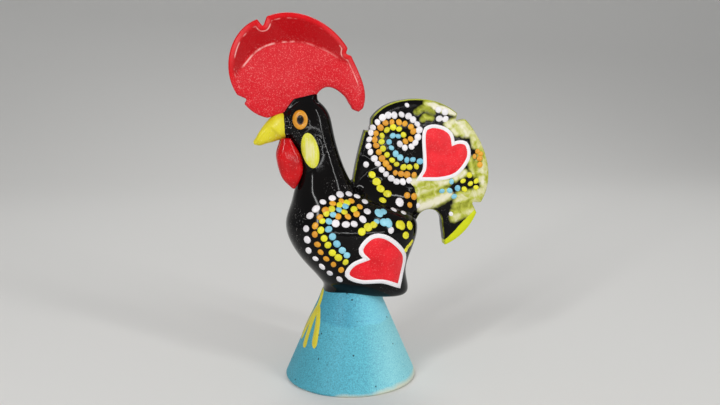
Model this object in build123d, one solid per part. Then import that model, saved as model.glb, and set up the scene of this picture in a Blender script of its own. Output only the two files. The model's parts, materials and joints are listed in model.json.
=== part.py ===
from build123d import *

import math
import os
from typing import NamedTuple

# A painted earthenware rooster that stands on a hollow cone.
# The clay pieces are made apart and luted together with slip: a thrown cone, two pressed
# body halves, a comb and a tail cut from slabs, and small pieces keyed into the head.
# Millimetres, +Z up, origin in the middle of the cone's foot, beak towards -X.
# The bird is laid out from its own datum, the middle of the cone's shoulder.


class Station(NamedTuple):
    """One level outline of a lofted piece: its height and its reach in plan."""

    height: float
    front: float
    rear: float
    half_width: float


class Lobe(NamedTuple):
    """One level outline of a wattle: how far it is below the beak, and its reach off the neck."""

    drop: float
    reach: float
    half_width: float


# Base cone
CONE_FOOT_RADIUS = 28.0
CONE_SHOULDER_RADIUS = 12.8
CONE_HEIGHT = 35.0
CONE_WALL = 4.0
CONE_ROOF = 4.0
FOOT_ROUND = 1.0
SPIGOT_RADIUS = 7.0
SPIGOT_HEIGHT = 4.0
VENT_RADIUS = 1.5

# Slip left in each luted joint, on each side of the inner piece
LUTE = 0.15

# Body, neck and head: level outlines from the shoulder of the cone to the crown
BODY_STATIONS = (
    Station(0.0, -11.0, 20.8, 11.4),
    Station(1.6, -11.5, 22.8, 13.2),
    Station(4.5, -11.9, 23.2, 14.9),
    Station(9.5, -14.8, 23.1, 16.8),
    Station(15.0, -19.6, 24.0, 18.4),
    Station(21.0, -23.8, 26.2, 19.6),
    Station(27.0, -26.3, 28.0, 20.0),
    Station(31.0, -26.7, 27.8, 19.6),
    Station(35.0, -25.8, 24.6, 18.2),
    Station(39.0, -24.4, 16.0, 15.8),
    Station(42.0, -23.6, 8.6, 13.2),
    Station(45.0, -22.8, 2.6, 11.0),
    Station(49.0, -21.6, -0.4, 9.6),
    Station(55.0, -21.0, -3.1, 8.6),
    Station(61.0, -22.4, -5.1, 8.2),
    Station(66.0, -25.4, -6.4, 8.2),
    Station(71.0, -26.6, -7.4, 8.2),
    Station(76.0, -26.0, -8.9, 7.4),
    Station(80.0, -23.0, -12.2, 5.4),
    Station(82.4, -19.8, -14.8, 3.0),
)
SIDE_FULLNESS = 2.3
RING_POINTS = 16
BODY_WALL = 4.5
BODY_FLOOR = 6.5
CAVITY_ROOF = 22.0
CAVITY_LEVELS = 5
CROWN = BODY_STATIONS[-1].height

# Comb: a slab in the middle plane, with a root let into a slot in the crown
COMB_THICKNESS = 7.0
COMB_ROOT_DEPTH = 6.4
COMB_SEAT = CROWN - COMB_ROOT_DEPTH
COMB_ROOT_REAR = -13.6
COMB_BEVEL_WIDTH = 2.0
COMB_BEVEL_DEPTH = 1.6

# Rim of the comb, from beak to nape: X, and height above the comb's seat
COMB_NOSE = (-33.4, -2.1)
COMB_CHIN = (-37.9, -0.4)
COMB_LOW_LIP = (-42.4, 3.6)
COMB_LOW_NOTCH = (-41.2, 5.3)
COMB_CHEEK = (-45.0, 7.0)
COMB_FRONT = (-48.2, 19.0)
COMB_FOREHEAD = (-44.3, 30.4)
COMB_BROW_LIP = (-36.6, 36.3)
COMB_BROW_NOTCH = (-34.4, 33.4)
COMB_CROWN_LIP = (-32.9, 37.4)
COMB_TOP = (-22.0, 38.9)
COMB_BACK = (-10.6, 34.9)
COMB_BACK_LIP = (-1.0, 25.3)
COMB_BACK_NOTCH = (-1.8, 23.2)
COMB_HOOK_LIP = (0.4, 22.4)
COMB_HOOK = (5.1, 11.6)
COMB_HOOK_END = (5.6, 3.2)
COMB_HOOK_TIP = (4.0, 0.2)
COMB_HOOK_BELLY = (-1.5, 5.6)
COMB_NAPE = (-8.9, 10.0)
COMB_NAPE_END = 7.0

# Tail: a slab in the middle plane, with a root let into a slot in the back
TAIL_THICKNESS = 8.0
TAIL_ROOT_FRONT = 0.8
TAIL_ROOT_FRONT_SEAT = 37.0
TAIL_ROOT_REAR = 24.0
TAIL_ROOT_REAR_SEAT = 26.0
TAIL_BEVEL_WIDTH = 1.8
TAIL_BEVEL_DEPTH = 1.4

# Rim of the tail, from the neck over the top to the arch: X, and height above the cone
TAIL_FRONT_FOOT = 47.4
TAIL_FRONT = (2.6, 57.0)
TAIL_FRONT_LIP = (5.7, 68.7)
TAIL_FRONT_NOTCH = (8.2, 68.4)
TAIL_FAN_START = (8.4, 73.3)
TAIL_FAN_RISE = (13.2, 78.0)
TAIL_FAN_TOP = (23.4, 81.1)
TAIL_FAN_FALL = (35.0, 80.2)
TAIL_TOP_LIP = (44.4, 75.2)
TAIL_TOP_NOTCH = (43.7, 72.0)
TAIL_BACK_START = (47.8, 72.9)
TAIL_BACK_HIGH = (55.6, 61.5)
TAIL_BACK_LOW = (58.5, 48.0)
TAIL_LOW_LIP = (55.4, 37.7)
TAIL_LOW_NOTCH = (51.5, 38.0)
TAIL_FEATHER_BEND = (53.7, 33.4)
TAIL_FEATHER_EDGE = (47.2, 24.2)
TAIL_FEATHER_TIP = (40.0, 19.8)
TAIL_ARCH_END = (38.6, 29.5)
TAIL_ARCH_TOP = (33.4, 35.4)
TAIL_ARCH_START = (28.1, 32.0)

# Swelling of the back round the root of the tail, with cheeks that thin out upwards
SADDLE_STATIONS = (
    Station(28.0, 2.0, 26.0, TAIL_THICKNESS / 2 + 8.5),
    Station(32.0, 1.8, 26.6, TAIL_THICKNESS / 2 + 6.4),
    Station(36.0, 1.8, 26.4, TAIL_THICKNESS / 2 + 4.0),
    Station(40.0, 2.0, 25.0, TAIL_THICKNESS / 2 + 2.2),
    Station(45.0, 2.6, 22.0, TAIL_THICKNESS / 2 + 1.1),
    Station(51.0, 3.6, 17.0, TAIL_THICKNESS / 2 + 0.6),
)

# Eyes and ear lobes: oval pads keyed into recesses in the head
EYE_X = -20.3
EYE_BELOW_CROWN = 9.4
EYE_HEIGHT = CROWN - EYE_BELOW_CROWN
EYE_WIDTH = 6.6
EYE_TALLNESS = 8.2
EYE_PROUD = 0.9
PUPIL_WIDTH = 2.5
PUPIL_TALLNESS = 3.4
PUPIL_PROUD = 0.5
PUPIL_ROUND = 0.4
EAR_X = -16.6
EAR_WIDTH = 6.4
EAR_TALLNESS = 14.0
EAR_LEAN = 11.0
EAR_PROUD = 0.9
EYE_EAR_GAP = 1.4
EAR_HEIGHT = EYE_HEIGHT - EYE_TALLNESS / 2 - EYE_EAR_GAP - EAR_TALLNESS / 2
PAD_KEY_DEPTH = 1.8
PAD_EDGE_ROUND = 0.5

# Beak: a horn under the comb, with a plug that ends in front of the eyes
BEAK_COMB_GAP = 1.0
BEAK_ROOT_TALLNESS = 9.6
BEAK_ROOT_HIGH = COMB_SEAT - BEAK_COMB_GAP
BEAK_ROOT_LOW = BEAK_ROOT_HIGH - BEAK_ROOT_TALLNESS
BEAK_ROOT_HALF_WIDTH = 5.2
BEAK_LENGTH = 12.4
BEAK_TIP_DROP = 1.2
BEAK_TIP_RADIUS = 0.7
BEAK_RIDGE_CURVE = 2.4
BEAK_SIDE_CURVE = 1.5
BEAK_PLUG_WEB = 0.8
BEAK_PLUG_END = EYE_X - EYE_WIDTH / 2 - BEAK_PLUG_WEB
BEAK_SECTIONS = (0.0, 0.25, 0.5, 0.75, 0.92, 1.0)

# Wattles: two drops of clay below the beak, from the tip up, sunk a little into the neck
WATTLE_LOBES = (
    Lobe(20.2, 0.4, 0.6),
    Lobe(18.0, 3.0, 1.7),
    Lobe(15.0, 6.2, 2.5),
    Lobe(11.0, 8.3, 3.0),
    Lobe(7.0, 8.2, 3.0),
    Lobe(3.5, 6.7, 2.6),
    Lobe(0.7, 4.2, 1.8),
)
WATTLE_SUNK = 1.7
WATTLE_PARTING = 0.3

# Further than any piece reaches, for cuts that run out into the open
CUT_REACH = 90.0


def spread(share):
    """Pushes a cosine or sine outwards, so that an oval fills out towards its corners."""
    return math.copysign(abs(share) ** (2 / SIDE_FULLNESS), share)


def oval(station, middle=0.0):
    """A level outline of a station, with its middle at that Y."""
    centre = (station.front + station.rear) / 2
    reach = (station.rear - station.front) / 2
    turns = [2 * math.pi * step / RING_POINTS for step in range(RING_POINTS)]
    points = [
        (
            centre + reach * spread(math.cos(turn)),
            middle + station.half_width * spread(math.sin(turn)),
            station.height,
        )
        for turn in turns
    ]
    return Face(Wire(Spline(points, periodic=True)))


def station_at(height):
    """The body's outline at any height, between the stations above and below it."""
    for low, high in zip(BODY_STATIONS, BODY_STATIONS[1:]):
        if height <= high.height:
            share = (height - low.height) / (high.height - low.height)
            return Station(*(a + share * (b - a) for a, b in zip(low, high)))
    return BODY_STATIONS[-1]


def inset(station, wall):
    """The same outline, drawn in by a wall."""
    return Station(station.height, station.front + wall, station.rear - wall, station.half_width - wall)


def slab(outline, thickness):
    """A slab of an upright outline, centred on the middle plane."""
    return extrude(outline, thickness / 2, both=True)


def bevelled(solid, width, depth):
    """Bevels the rim of a slab on both faces."""
    for end in (0, -1):
        face = solid.faces().sort_by(Axis.Y)[end]
        solid = chamfer(face.edges(), depth, width, reference=face)
    return solid


def upright(edges):
    """A face in the middle plane from edges drawn in X and Z."""
    return Plane.XZ * make_face(edges)


def make_cone():
    """The thrown cone: hollow, open below, with a spigot and a vent on its shoulder."""
    taper = (CONE_FOOT_RADIUS - CONE_SHOULDER_RADIUS) / CONE_HEIGHT
    roof = CONE_HEIGHT - CONE_ROOF
    spigot_top = CONE_HEIGHT + SPIGOT_HEIGHT
    profile = Polyline(
        (CONE_FOOT_RADIUS - CONE_WALL, 0),
        (CONE_FOOT_RADIUS, 0),
        (CONE_SHOULDER_RADIUS, CONE_HEIGHT),
        (SPIGOT_RADIUS, CONE_HEIGHT),
        (SPIGOT_RADIUS, spigot_top),
        (VENT_RADIUS, spigot_top),
        (VENT_RADIUS, roof),
        (CONE_FOOT_RADIUS - CONE_WALL - taper * roof, roof),
        close=True,
    )
    solid = revolve(Plane.XZ * make_face(profile), Axis.Z)
    foot = solid.edges().filter_by(GeomType.CIRCLE).group_by(Axis.Z)[0].sort_by(SortBy.RADIUS)[-1]
    return fillet(foot, FOOT_ROUND)


def make_form():
    """The whole body, neck and head as one closed form, before it is hollowed."""
    bird = loft([oval(station) for station in BODY_STATIONS])
    return bird + loft([oval(station) for station in SADDLE_STATIONS])


def make_cavity():
    """The hollow inside the body, above its floor and below the tail's slot."""
    rise = (CAVITY_ROOF - BODY_FLOOR) / (CAVITY_LEVELS - 1)
    levels = [station_at(BODY_FLOOR + rise * step) for step in range(CAVITY_LEVELS)]
    return loft([oval(inset(level, BODY_WALL)) for level in levels])


def make_comb():
    """The comb: a slab with three notches in its rim, drawn up from its seat in the crown."""
    root_front = (station_at(COMB_SEAT).front - LUTE, 0)
    root_rear = (COMB_ROOT_REAR, 0)
    nape_end = (COMB_ROOT_REAR, COMB_NAPE_END)
    outline = [
        Line(root_front, COMB_NOSE),
        Spline(COMB_NOSE, COMB_CHIN, COMB_LOW_LIP),
        Polyline(COMB_LOW_LIP, COMB_LOW_NOTCH, COMB_CHEEK),
        Spline(COMB_CHEEK, COMB_FRONT, COMB_FOREHEAD, COMB_BROW_LIP),
        Polyline(COMB_BROW_LIP, COMB_BROW_NOTCH, COMB_CROWN_LIP),
        Spline(COMB_CROWN_LIP, COMB_TOP, COMB_BACK, COMB_BACK_LIP),
        Polyline(COMB_BACK_LIP, COMB_BACK_NOTCH, COMB_HOOK_LIP),
        Spline(COMB_HOOK_LIP, COMB_HOOK, COMB_HOOK_END, COMB_HOOK_TIP),
        Spline(COMB_HOOK_TIP, COMB_HOOK_BELLY, COMB_NAPE, nape_end),
        Polyline(nape_end, root_rear, root_front),
    ]
    solid = Pos(0, 0, COMB_SEAT) * slab(upright(outline), COMB_THICKNESS)
    return bevelled(solid, COMB_BEVEL_WIDTH, COMB_BEVEL_DEPTH)


def make_comb_slot():
    """The room that the comb's root takes in the crown, slip included."""
    width = COMB_THICKNESS + 2 * LUTE
    room = Box(CUT_REACH, width, CUT_REACH, align=(Align.MAX, Align.CENTER, Align.MIN))
    return Pos(COMB_ROOT_REAR + LUTE, 0, COMB_SEAT - LUTE) * room


def make_tail():
    """The tail: a fan with two notches and a drooping lower feather."""
    root_front = (TAIL_ROOT_FRONT, TAIL_ROOT_FRONT_SEAT)
    root_rear = (TAIL_ROOT_REAR, TAIL_ROOT_REAR_SEAT)
    front_foot = (TAIL_ROOT_FRONT, TAIL_FRONT_FOOT)
    outline = [
        Polyline(TAIL_ARCH_START, root_rear, root_front, front_foot),
        Spline(front_foot, TAIL_FRONT, TAIL_FRONT_LIP),
        Polyline(TAIL_FRONT_LIP, TAIL_FRONT_NOTCH, TAIL_FAN_START),
        Spline(TAIL_FAN_START, TAIL_FAN_RISE, TAIL_FAN_TOP, TAIL_FAN_FALL, TAIL_TOP_LIP),
        Polyline(TAIL_TOP_LIP, TAIL_TOP_NOTCH, TAIL_BACK_START),
        Spline(TAIL_BACK_START, TAIL_BACK_HIGH, TAIL_BACK_LOW, TAIL_LOW_LIP),
        Polyline(TAIL_LOW_LIP, TAIL_LOW_NOTCH, TAIL_FEATHER_BEND),
        Spline(TAIL_FEATHER_BEND, TAIL_FEATHER_EDGE, TAIL_FEATHER_TIP),
        Line(TAIL_FEATHER_TIP, TAIL_ARCH_END),
        ThreePointArc(TAIL_ARCH_END, TAIL_ARCH_TOP, TAIL_ARCH_START),
    ]
    solid = slab(upright(outline), TAIL_THICKNESS)
    return bevelled(solid, TAIL_BEVEL_WIDTH, TAIL_BEVEL_DEPTH)


def make_tail_slot():
    """The room that the tail's root takes in the back, slip included."""
    outline = Polyline(
        (TAIL_ROOT_FRONT, CUT_REACH),
        (TAIL_ROOT_FRONT, TAIL_ROOT_FRONT_SEAT),
        (TAIL_ROOT_REAR, TAIL_ROOT_REAR_SEAT),
        (CUT_REACH, CUT_REACH),
        close=True,
    )
    room = offset(Plane.XZ * make_face(outline), LUTE, kind=Kind.INTERSECTION)
    return slab(room, TAIL_THICKNESS + 2 * LUTE)


def beak_root():
    """Where the beak leaves the front of the head."""
    return station_at((BEAK_ROOT_LOW + BEAK_ROOT_HIGH) / 2).front


def beak_underside(x):
    """The height of the beak's lower edge, at that X."""
    share = (beak_root() - x) / BEAK_LENGTH
    return BEAK_ROOT_LOW - share * (BEAK_TIP_DROP + BEAK_TIP_RADIUS)


def beak_section(share, gap=0.0):
    """An upright outline of the beak, from its root at 0 to its tip at 1."""
    x = beak_root() - share * BEAK_LENGTH
    low = beak_underside(x)
    ridge_fall = BEAK_ROOT_TALLNESS + BEAK_TIP_DROP - BEAK_TIP_RADIUS
    high = BEAK_ROOT_HIGH - share**BEAK_RIDGE_CURVE * ridge_fall
    half_width = BEAK_ROOT_HALF_WIDTH - share**BEAK_SIDE_CURVE * (BEAK_ROOT_HALF_WIDTH - BEAK_TIP_RADIUS)
    plane = Plane((x, 0, (low + high) / 2), x_dir=(0, 1, 0), z_dir=(-1, 0, 0))
    return plane * Ellipse(half_width + gap, (high - low) / 2 + gap)


def make_beak():
    """The beak: a curved horn with a plug that goes into the head."""
    horn = loft([beak_section(share) for share in BEAK_SECTIONS])
    return horn + extrude(beak_section(0.0), beak_root() - BEAK_PLUG_END)


def make_beak_socket():
    """The room that the beak's plug takes in the head, slip included."""
    face = beak_section(0.0, LUTE)
    return extrude(face, beak_root() - BEAK_PLUG_END - LUTE) + extrude(face, BEAK_LENGTH / 2)


def make_wattle(side, form):
    """One wattle: a drop of clay that hangs below the beak, shaped to the neck behind it."""
    stations = []
    for lobe in WATTLE_LOBES:
        throat = station_at(BEAK_ROOT_LOW - lobe.drop).front
        tip = throat - lobe.reach
        height = beak_underside(tip) - lobe.drop
        stations.append(Station(height, tip, throat + WATTLE_SUNK, lobe.half_width))
    middle = WATTLE_PARTING / 2 + max(lobe.half_width for lobe in WATTLE_LOBES)
    drop = loft([oval(station, side * middle) for station in stations])
    return Pos(-LUTE, 0, 0) * (drop - form)


def side_plane(x, height, side):
    """A plane on the side of the head, square to its surface, with its own Y upwards."""
    station = station_at(height)
    centre = (station.front + station.rear) / 2
    reach = (station.rear - station.front) / 2
    along = (x - centre) / reach
    across = (1 - abs(along) ** SIDE_FULLNESS) ** (1 / SIDE_FULLNESS)
    slope_x = math.copysign(abs(along) ** (SIDE_FULLNESS - 1), along) / reach
    slope_y = across ** (SIDE_FULLNESS - 1) / station.half_width
    normal = (slope_x, side * slope_y, 0)
    tangent = (-side * slope_y, slope_x, 0)
    return Plane((x, side * across * station.half_width, height), x_dir=tangent, z_dir=normal)


def pad(width, tallness, proud, lean=0.0):
    """An oval pad with a rounded face and a key behind it, on the plane of its seat."""
    oval_face = Rot(0, 0, lean) * Ellipse(width / 2, tallness / 2)
    solid = Pos(0, 0, -PAD_KEY_DEPTH) * extrude(oval_face, PAD_KEY_DEPTH + proud)
    rim = solid.faces().sort_by(Axis.Z)[-1].edges()
    return fillet(rim, PAD_EDGE_ROUND)


def pad_recess(width, tallness, lean=0.0):
    """The recess for such a pad, slip included."""
    oval_face = Rot(0, 0, lean) * Ellipse(width / 2 + LUTE, tallness / 2 + LUTE)
    return Pos(0, 0, -PAD_KEY_DEPTH - LUTE) * extrude(oval_face, CUT_REACH)


def make_pupil():
    """The pupil: a small oval bead that plugs the eye."""
    bead = extrude(Ellipse(PUPIL_WIDTH / 2, PUPIL_TALLNESS / 2), EYE_PROUD + PUPIL_PROUD)
    return fillet(bead.faces().sort_by(Axis.Z)[-1].edges(), PUPIL_ROUND)


def make_eye():
    """The eye: an oval pad with a recess for the pupil."""
    recess = extrude(Ellipse(PUPIL_WIDTH / 2 + LUTE, PUPIL_TALLNESS / 2 + LUTE), CUT_REACH)
    return pad(EYE_WIDTH, EYE_TALLNESS, EYE_PROUD) - Pos(0, 0, -LUTE) * recess


def make_bird():
    """Every piece above the cone, by name, laid out from the bird's datum."""
    form = make_form()
    socket = Cylinder(
        SPIGOT_RADIUS + LUTE, SPIGOT_HEIGHT + LUTE, align=(Align.CENTER, Align.CENTER, Align.MIN)
    )
    vent = Cylinder(VENT_RADIUS, CAVITY_ROOF, align=(Align.CENTER, Align.CENTER, Align.MIN))
    shell = form - make_cavity() - socket - vent
    shell = shell - make_comb_slot() - make_tail_slot() - make_beak_socket()
    pieces = {"comb": make_comb(), "tail_fan": make_tail(), "beak": make_beak()}
    for name, side, keep in (("left", -1, Keep.TOP), ("right", 1, Keep.BOTTOM)):
        eye_plane = side_plane(EYE_X, EYE_HEIGHT, side)
        ear_plane = side_plane(EAR_X, EAR_HEIGHT, side)
        lean = side * EAR_LEAN
        half = split(shell, bisect_by=Plane.XZ, keep=keep)
        half = half - eye_plane * pad_recess(EYE_WIDTH, EYE_TALLNESS)
        half = half - ear_plane * pad_recess(EAR_WIDTH, EAR_TALLNESS, lean)
        pieces[f"body_{name}"] = half
        pieces[f"eye_{name}"] = eye_plane * make_eye()
        pieces[f"pupil_{name}"] = eye_plane * make_pupil()
        pieces[f"ear_lobe_{name}"] = ear_plane * pad(EAR_WIDTH, EAR_TALLNESS, EAR_PROUD, lean)
        pieces[f"wattle_{name}"] = make_wattle(side, form)
    return pieces


def main():
    """Builds every piece and writes one file for each."""
    os.makedirs("parts", exist_ok=True)
    pieces = {name: Pos(0, 0, CONE_HEIGHT) * piece for name, piece in make_bird().items()}
    pieces["base_cone"] = make_cone()
    for name, piece in pieces.items():
        export_step(piece, f"parts/{name}.step")
        print(name, round(piece.volume), "mm3")


main()
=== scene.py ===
import json
import logging
import math
import random
from contextlib import contextmanager
from dataclasses import dataclass
from enum import Enum
from typing import Callable, Iterator, Optional, Sequence

import bpy
import numpy as np
from mathutils import Matrix, Vector
from mathutils.kdtree import KDTree

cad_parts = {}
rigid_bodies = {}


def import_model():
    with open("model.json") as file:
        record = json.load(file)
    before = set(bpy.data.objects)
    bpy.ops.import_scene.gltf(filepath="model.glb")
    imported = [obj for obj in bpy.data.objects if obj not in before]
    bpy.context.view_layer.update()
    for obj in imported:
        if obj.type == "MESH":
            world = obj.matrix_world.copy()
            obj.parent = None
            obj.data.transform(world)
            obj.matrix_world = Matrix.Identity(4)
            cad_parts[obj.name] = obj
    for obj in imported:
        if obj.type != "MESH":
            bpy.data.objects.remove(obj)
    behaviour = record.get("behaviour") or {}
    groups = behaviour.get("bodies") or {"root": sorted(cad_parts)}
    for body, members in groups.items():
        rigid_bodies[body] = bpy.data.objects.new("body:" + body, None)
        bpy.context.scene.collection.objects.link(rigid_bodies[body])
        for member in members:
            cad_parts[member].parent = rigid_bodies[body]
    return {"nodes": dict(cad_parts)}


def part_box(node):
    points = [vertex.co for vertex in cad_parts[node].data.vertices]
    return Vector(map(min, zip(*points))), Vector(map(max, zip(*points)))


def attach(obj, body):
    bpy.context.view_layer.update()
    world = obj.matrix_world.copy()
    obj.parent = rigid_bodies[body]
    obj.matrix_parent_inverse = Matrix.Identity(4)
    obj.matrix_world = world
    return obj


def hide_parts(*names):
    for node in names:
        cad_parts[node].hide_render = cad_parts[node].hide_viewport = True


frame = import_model()

MM = 0.001
# Points closer than this are merged, in mm: of a CAD mesh, of the thrown cone and of a film of paint
CAD_MERGE = 0.002
CONE_MERGE = 0.01
FILM_MERGE = 0.02
# Steps of a smooth line between two of its points
PATH_STEPS = 24
# Colour sockets of a Mix node by number, because its other sockets have the same names
MIX_SHARE = 0
MIX_GROUND = 6
MIX_PAINT = 7
MIX_COLOUR = 2
# Settings that many nodes share
ADD = {"operation": "ADD"}
SUBTRACT = {"operation": "SUBTRACT"}
MULTIPLY = {"operation": "MULTIPLY"}
ABSOLUTE = {"operation": "ABSOLUTE"}
COLOURS = {"data_type": "RGBA"}
# The glossiest that any finish gets
LEAST_ROUGHNESS = 0.03
# How a film of paint lies: sunk at -1 to proud at 1, its thinnest share, and its crease in degrees
FILM_OFFSET = 0.6
FILM_THINNEST = 0.15
FILM_CREASE = 50.0
# The rise of the beak's bridge towards the comb, and where it grows along the beak and by height, in mm
BRIDGE_RISE = 1.1
BRIDGE_RUN = (-37.0, -28.0)
BRIDGE_LEVELS = (103.0, 109.0)

LOG = logging.getLogger("rooster")
Point = tuple[float, float]
Span = tuple[float, float]
Spot = tuple[float, float, float]
Plane = tuple[Spot, Spot]
Touch = tuple[Point, Point, float]
Piece = bpy.types.Object
Socket = bpy.types.NodeSocket


class Side(Enum):
    """The bird's two sides, as the sign of Y."""

    LEFT = -1.0
    RIGHT = 1.0


class Paint(Enum):
    """The dotting paints, as a main colour and the tone that a thinner touch of it dries to."""

    WHITE = ("#F4F0F2", "#DAD6DA")
    ORANGE = ("#E8A620", "#D68E16")
    YELLOW = ("#EAE420", "#D4CA1E")
    BLUE = ("#90D2E4", "#74BAD4")


# Work on meshes, as by hand


def deselect() -> None:
    """Leaves nothing selected."""
    if bpy.context.object and bpy.context.object.mode != "OBJECT":
        bpy.ops.object.mode_set(mode="OBJECT")
    bpy.ops.object.select_all(action="DESELECT")


def make_active(piece: Piece) -> None:
    """Selects one piece alone."""
    deselect()
    piece.select_set(True)
    bpy.context.view_layer.objects.active = piece


@contextmanager
def editing(piece: Piece) -> Iterator[None]:
    """Holds a piece in edit mode with all of it selected.

    Args:
        piece: The mesh to edit.
    """
    make_active(piece)
    bpy.ops.object.mode_set(mode="EDIT")
    bpy.ops.mesh.select_all(action="SELECT")
    yield
    bpy.ops.object.mode_set(mode="OBJECT")


def apply_modifier(piece: Piece, kind: str, **settings: object) -> None:
    """Adds a modifier and applies it.

    Args:
        piece: The mesh to change.
        kind: Blender's name of the modifier.
        settings: The modifier's properties.
    """
    make_active(piece)
    modifier = piece.modifiers.new(kind.lower(), kind)
    for key, value in settings.items():
        setattr(modifier, key, value)
    bpy.ops.object.modifier_apply(modifier=modifier.name)


def remesh(piece: Piece, voxel: float) -> None:
    """Draws one skin over a piece, with faces of about a size in mm."""
    apply_modifier(piece, "REMESH", mode="VOXEL", voxel_size=voxel * MM)


def soften(piece: Piece, rounds: int, group: str = "") -> None:
    """Smooths a piece, or the points of one of its groups, a number of rounds."""
    apply_modifier(piece, "SMOOTH", factor=0.5, iterations=rounds, vertex_group=group)


def shade_round(piece: Piece, crease: Optional[float] = None) -> None:
    """Shades a piece as round, apart from edges sharper than a crease in degrees."""
    make_active(piece)
    if crease is None:
        bpy.ops.object.shade_smooth()
    else:
        bpy.ops.object.shade_smooth_by_angle(angle=math.radians(crease))


def duplicate(piece: Piece) -> Piece:
    """Returns a copy of a piece with a mesh of its own."""
    copy = piece.copy()
    copy.data = piece.data.copy()
    bpy.context.scene.collection.objects.link(copy)
    return copy


def copy_of(node: str, name: str) -> Piece:
    """Copies a CAD node into a mesh of its own.

    Args:
        node: The CAD node.
        name: The name of the copy.

    Returns:
        The copy, with its loose triangles merged.
    """
    piece = duplicate(frame["nodes"][node])
    piece.name = piece.data.name = name
    piece.parent = None
    for key in list(piece.keys()):
        del piece[key]
    piece.data.materials.clear()
    with editing(piece):
        bpy.ops.mesh.customdata_custom_splitnormals_clear()
        bpy.ops.mesh.remove_doubles(threshold=CAD_MERGE * MM)
    return piece


def cut_away(piece: Piece, point: Sequence[float], normal: Sequence[float]) -> None:
    """Cuts off what lies beyond a plane and closes the cut.

    Args:
        piece: The mesh to cut.
        point: A point of the plane, in mm.
        normal: The direction that is cut away.
    """
    with editing(piece):
        place = [value * MM for value in point]
        away = Vector(normal).normalized()
        bpy.ops.mesh.bisect(plane_co=place, plane_no=away, clear_outer=True, use_fill=True)


def join(pieces: Sequence[Piece], name: str) -> Piece:
    """Joins pieces into one mesh.

    Args:
        pieces: The pieces, of which the first is kept.
        name: The name of the whole.

    Returns:
        The joined piece.
    """
    make_active(pieces[0])
    for piece in pieces:
        piece.select_set(True)
    if len(pieces) > 1:
        bpy.ops.object.join()
    pieces[0].name = pieces[0].data.name = name
    return pieces[0]


def points_of(piece: Piece) -> np.ndarray:
    """Returns a mesh's points in mm, one row each."""
    flat = np.zeros(len(piece.data.vertices) * 3)
    piece.data.vertices.foreach_get("co", flat)
    return flat.reshape(-1, 3) / MM


def normals_of(piece: Piece) -> np.ndarray:
    """Returns the normals at a mesh's points, one row each."""
    flat = np.zeros(len(piece.data.vertices) * 3)
    piece.data.vertex_normals.foreach_get("vector", flat)
    return flat.reshape(-1, 3)


def set_points(piece: Piece, points: np.ndarray) -> None:
    """Moves a mesh's points to new places in mm."""
    piece.data.vertices.foreach_set("co", (points * MM).ravel())
    piece.data.update()


def set_measure(piece: Piece, name: str, values: np.ndarray) -> None:
    """Keeps one number for each point of a mesh, which its finish reads.

    Args:
        piece: The mesh.
        name: The name that the finish looks up.
        values: A number for each point.
    """
    measure = piece.data.attributes.new(name, "FLOAT", "POINT")
    measure.data.foreach_set("value", values.astype(np.float32))


def smooth_step(values: np.ndarray, low: float, high: float) -> np.ndarray:
    """Rises smoothly from 0 at low to 1 at high."""
    share = np.clip((values - low) / (high - low), 0.0, 1.0)
    return share * share * (3.0 - 2.0 * share)


def smooth_path(points: Sequence[Point], count: int) -> np.ndarray:
    """Draws a smooth line through points and divides it evenly.

    Args:
        points: The points that a brush passes through.
        count: How many places are wanted, both ends included.

    Returns:
        The places, one row each.
    """
    steps = np.linspace(0.0, 1.0, PATH_STEPS, endpoint=False)[:, None]
    knots = [np.array(point, float) for point in points]
    knots = [2 * knots[0] - knots[1], *knots, 2 * knots[-1] - knots[-2]]
    runs = []
    for a, b, c, d in zip(knots, knots[1:], knots[2:], knots[3:]):
        bend = (2 * a - 5 * b + 4 * c - d) * steps**2 + (3 * b - a - 3 * c + d) * steps**3
        runs.append(0.5 * (2 * b + (c - a) * steps + bend))
    line = np.vstack([*runs, knots[-2]])
    travelled = np.concatenate([[0.0], np.cumsum(np.linalg.norm(np.diff(line, axis=0), axis=1))])
    wanted = np.linspace(0.0, travelled[-1], count)
    return np.column_stack([np.interp(wanted, travelled, line[:, axis]) for axis in range(2)])


def nudge(points: np.ndarray, touches: Sequence[Touch]) -> None:
    """Draws the points of a side view a little way, as a thumb draws clay.

    Args:
        points: The points in mm, which are moved.
        touches: Where the thumb touches, how far it draws, and how far round it the clay follows.
    """
    for (x, z), (along, upward), reach in touches:
        share = np.exp(-((points[:, 0] - x) ** 2 + (points[:, 2] - z) ** 2) / reach**2)
        points[:, 0] += along * share
        points[:, 2] += upward * share


# Finishes


def linear(colour: str) -> tuple[float, float, float, float]:
    """Turns an sRGB hex colour to the linear values that a shader takes.

    Args:
        colour: The colour, such as "#62B4C4".

    Returns:
        Red, green, blue and alpha.
    """
    parts = [int(colour[i : i + 2], 16) / 255 for i in (1, 3, 5)]
    parts = [p / 12.92 if p <= 0.04045 else ((p + 0.055) / 1.055) ** 2.4 for p in parts]
    return parts[0], parts[1], parts[2], 1.0


def per_metre(size: float) -> float:
    """Returns the texture scale whose features are about as large as a size in mm."""
    return 1.0 / (size * MM)


def add_node(tree: bpy.types.NodeTree, kind: str, settings: dict, links: dict) -> bpy.types.Node:
    """Adds a node with its settings and links.

    Args:
        tree: The node tree.
        kind: The node's type, without its common prefix.
        settings: Properties by name, a ramp's colours as "stops", and input values by name or number.
        links: The socket that feeds each input, by the input's name or number.

    Returns:
        The node.
    """
    node = tree.nodes.new("ShaderNode" + kind)
    for key, value in settings.items():
        if key == "stops":
            ramp = node.color_ramp.elements
            while len(ramp) < len(value):
                ramp.new(1.0)
            for element, (place, colour) in zip(ramp, value):
                element.position = place
                element.color = linear(colour)
        elif isinstance(key, str) and hasattr(node, key):
            setattr(node, key, value)
        else:
            node.inputs[key].default_value = value
    for key, socket in links.items():
        tree.links.new(socket, node.inputs[key])
    return node


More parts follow.
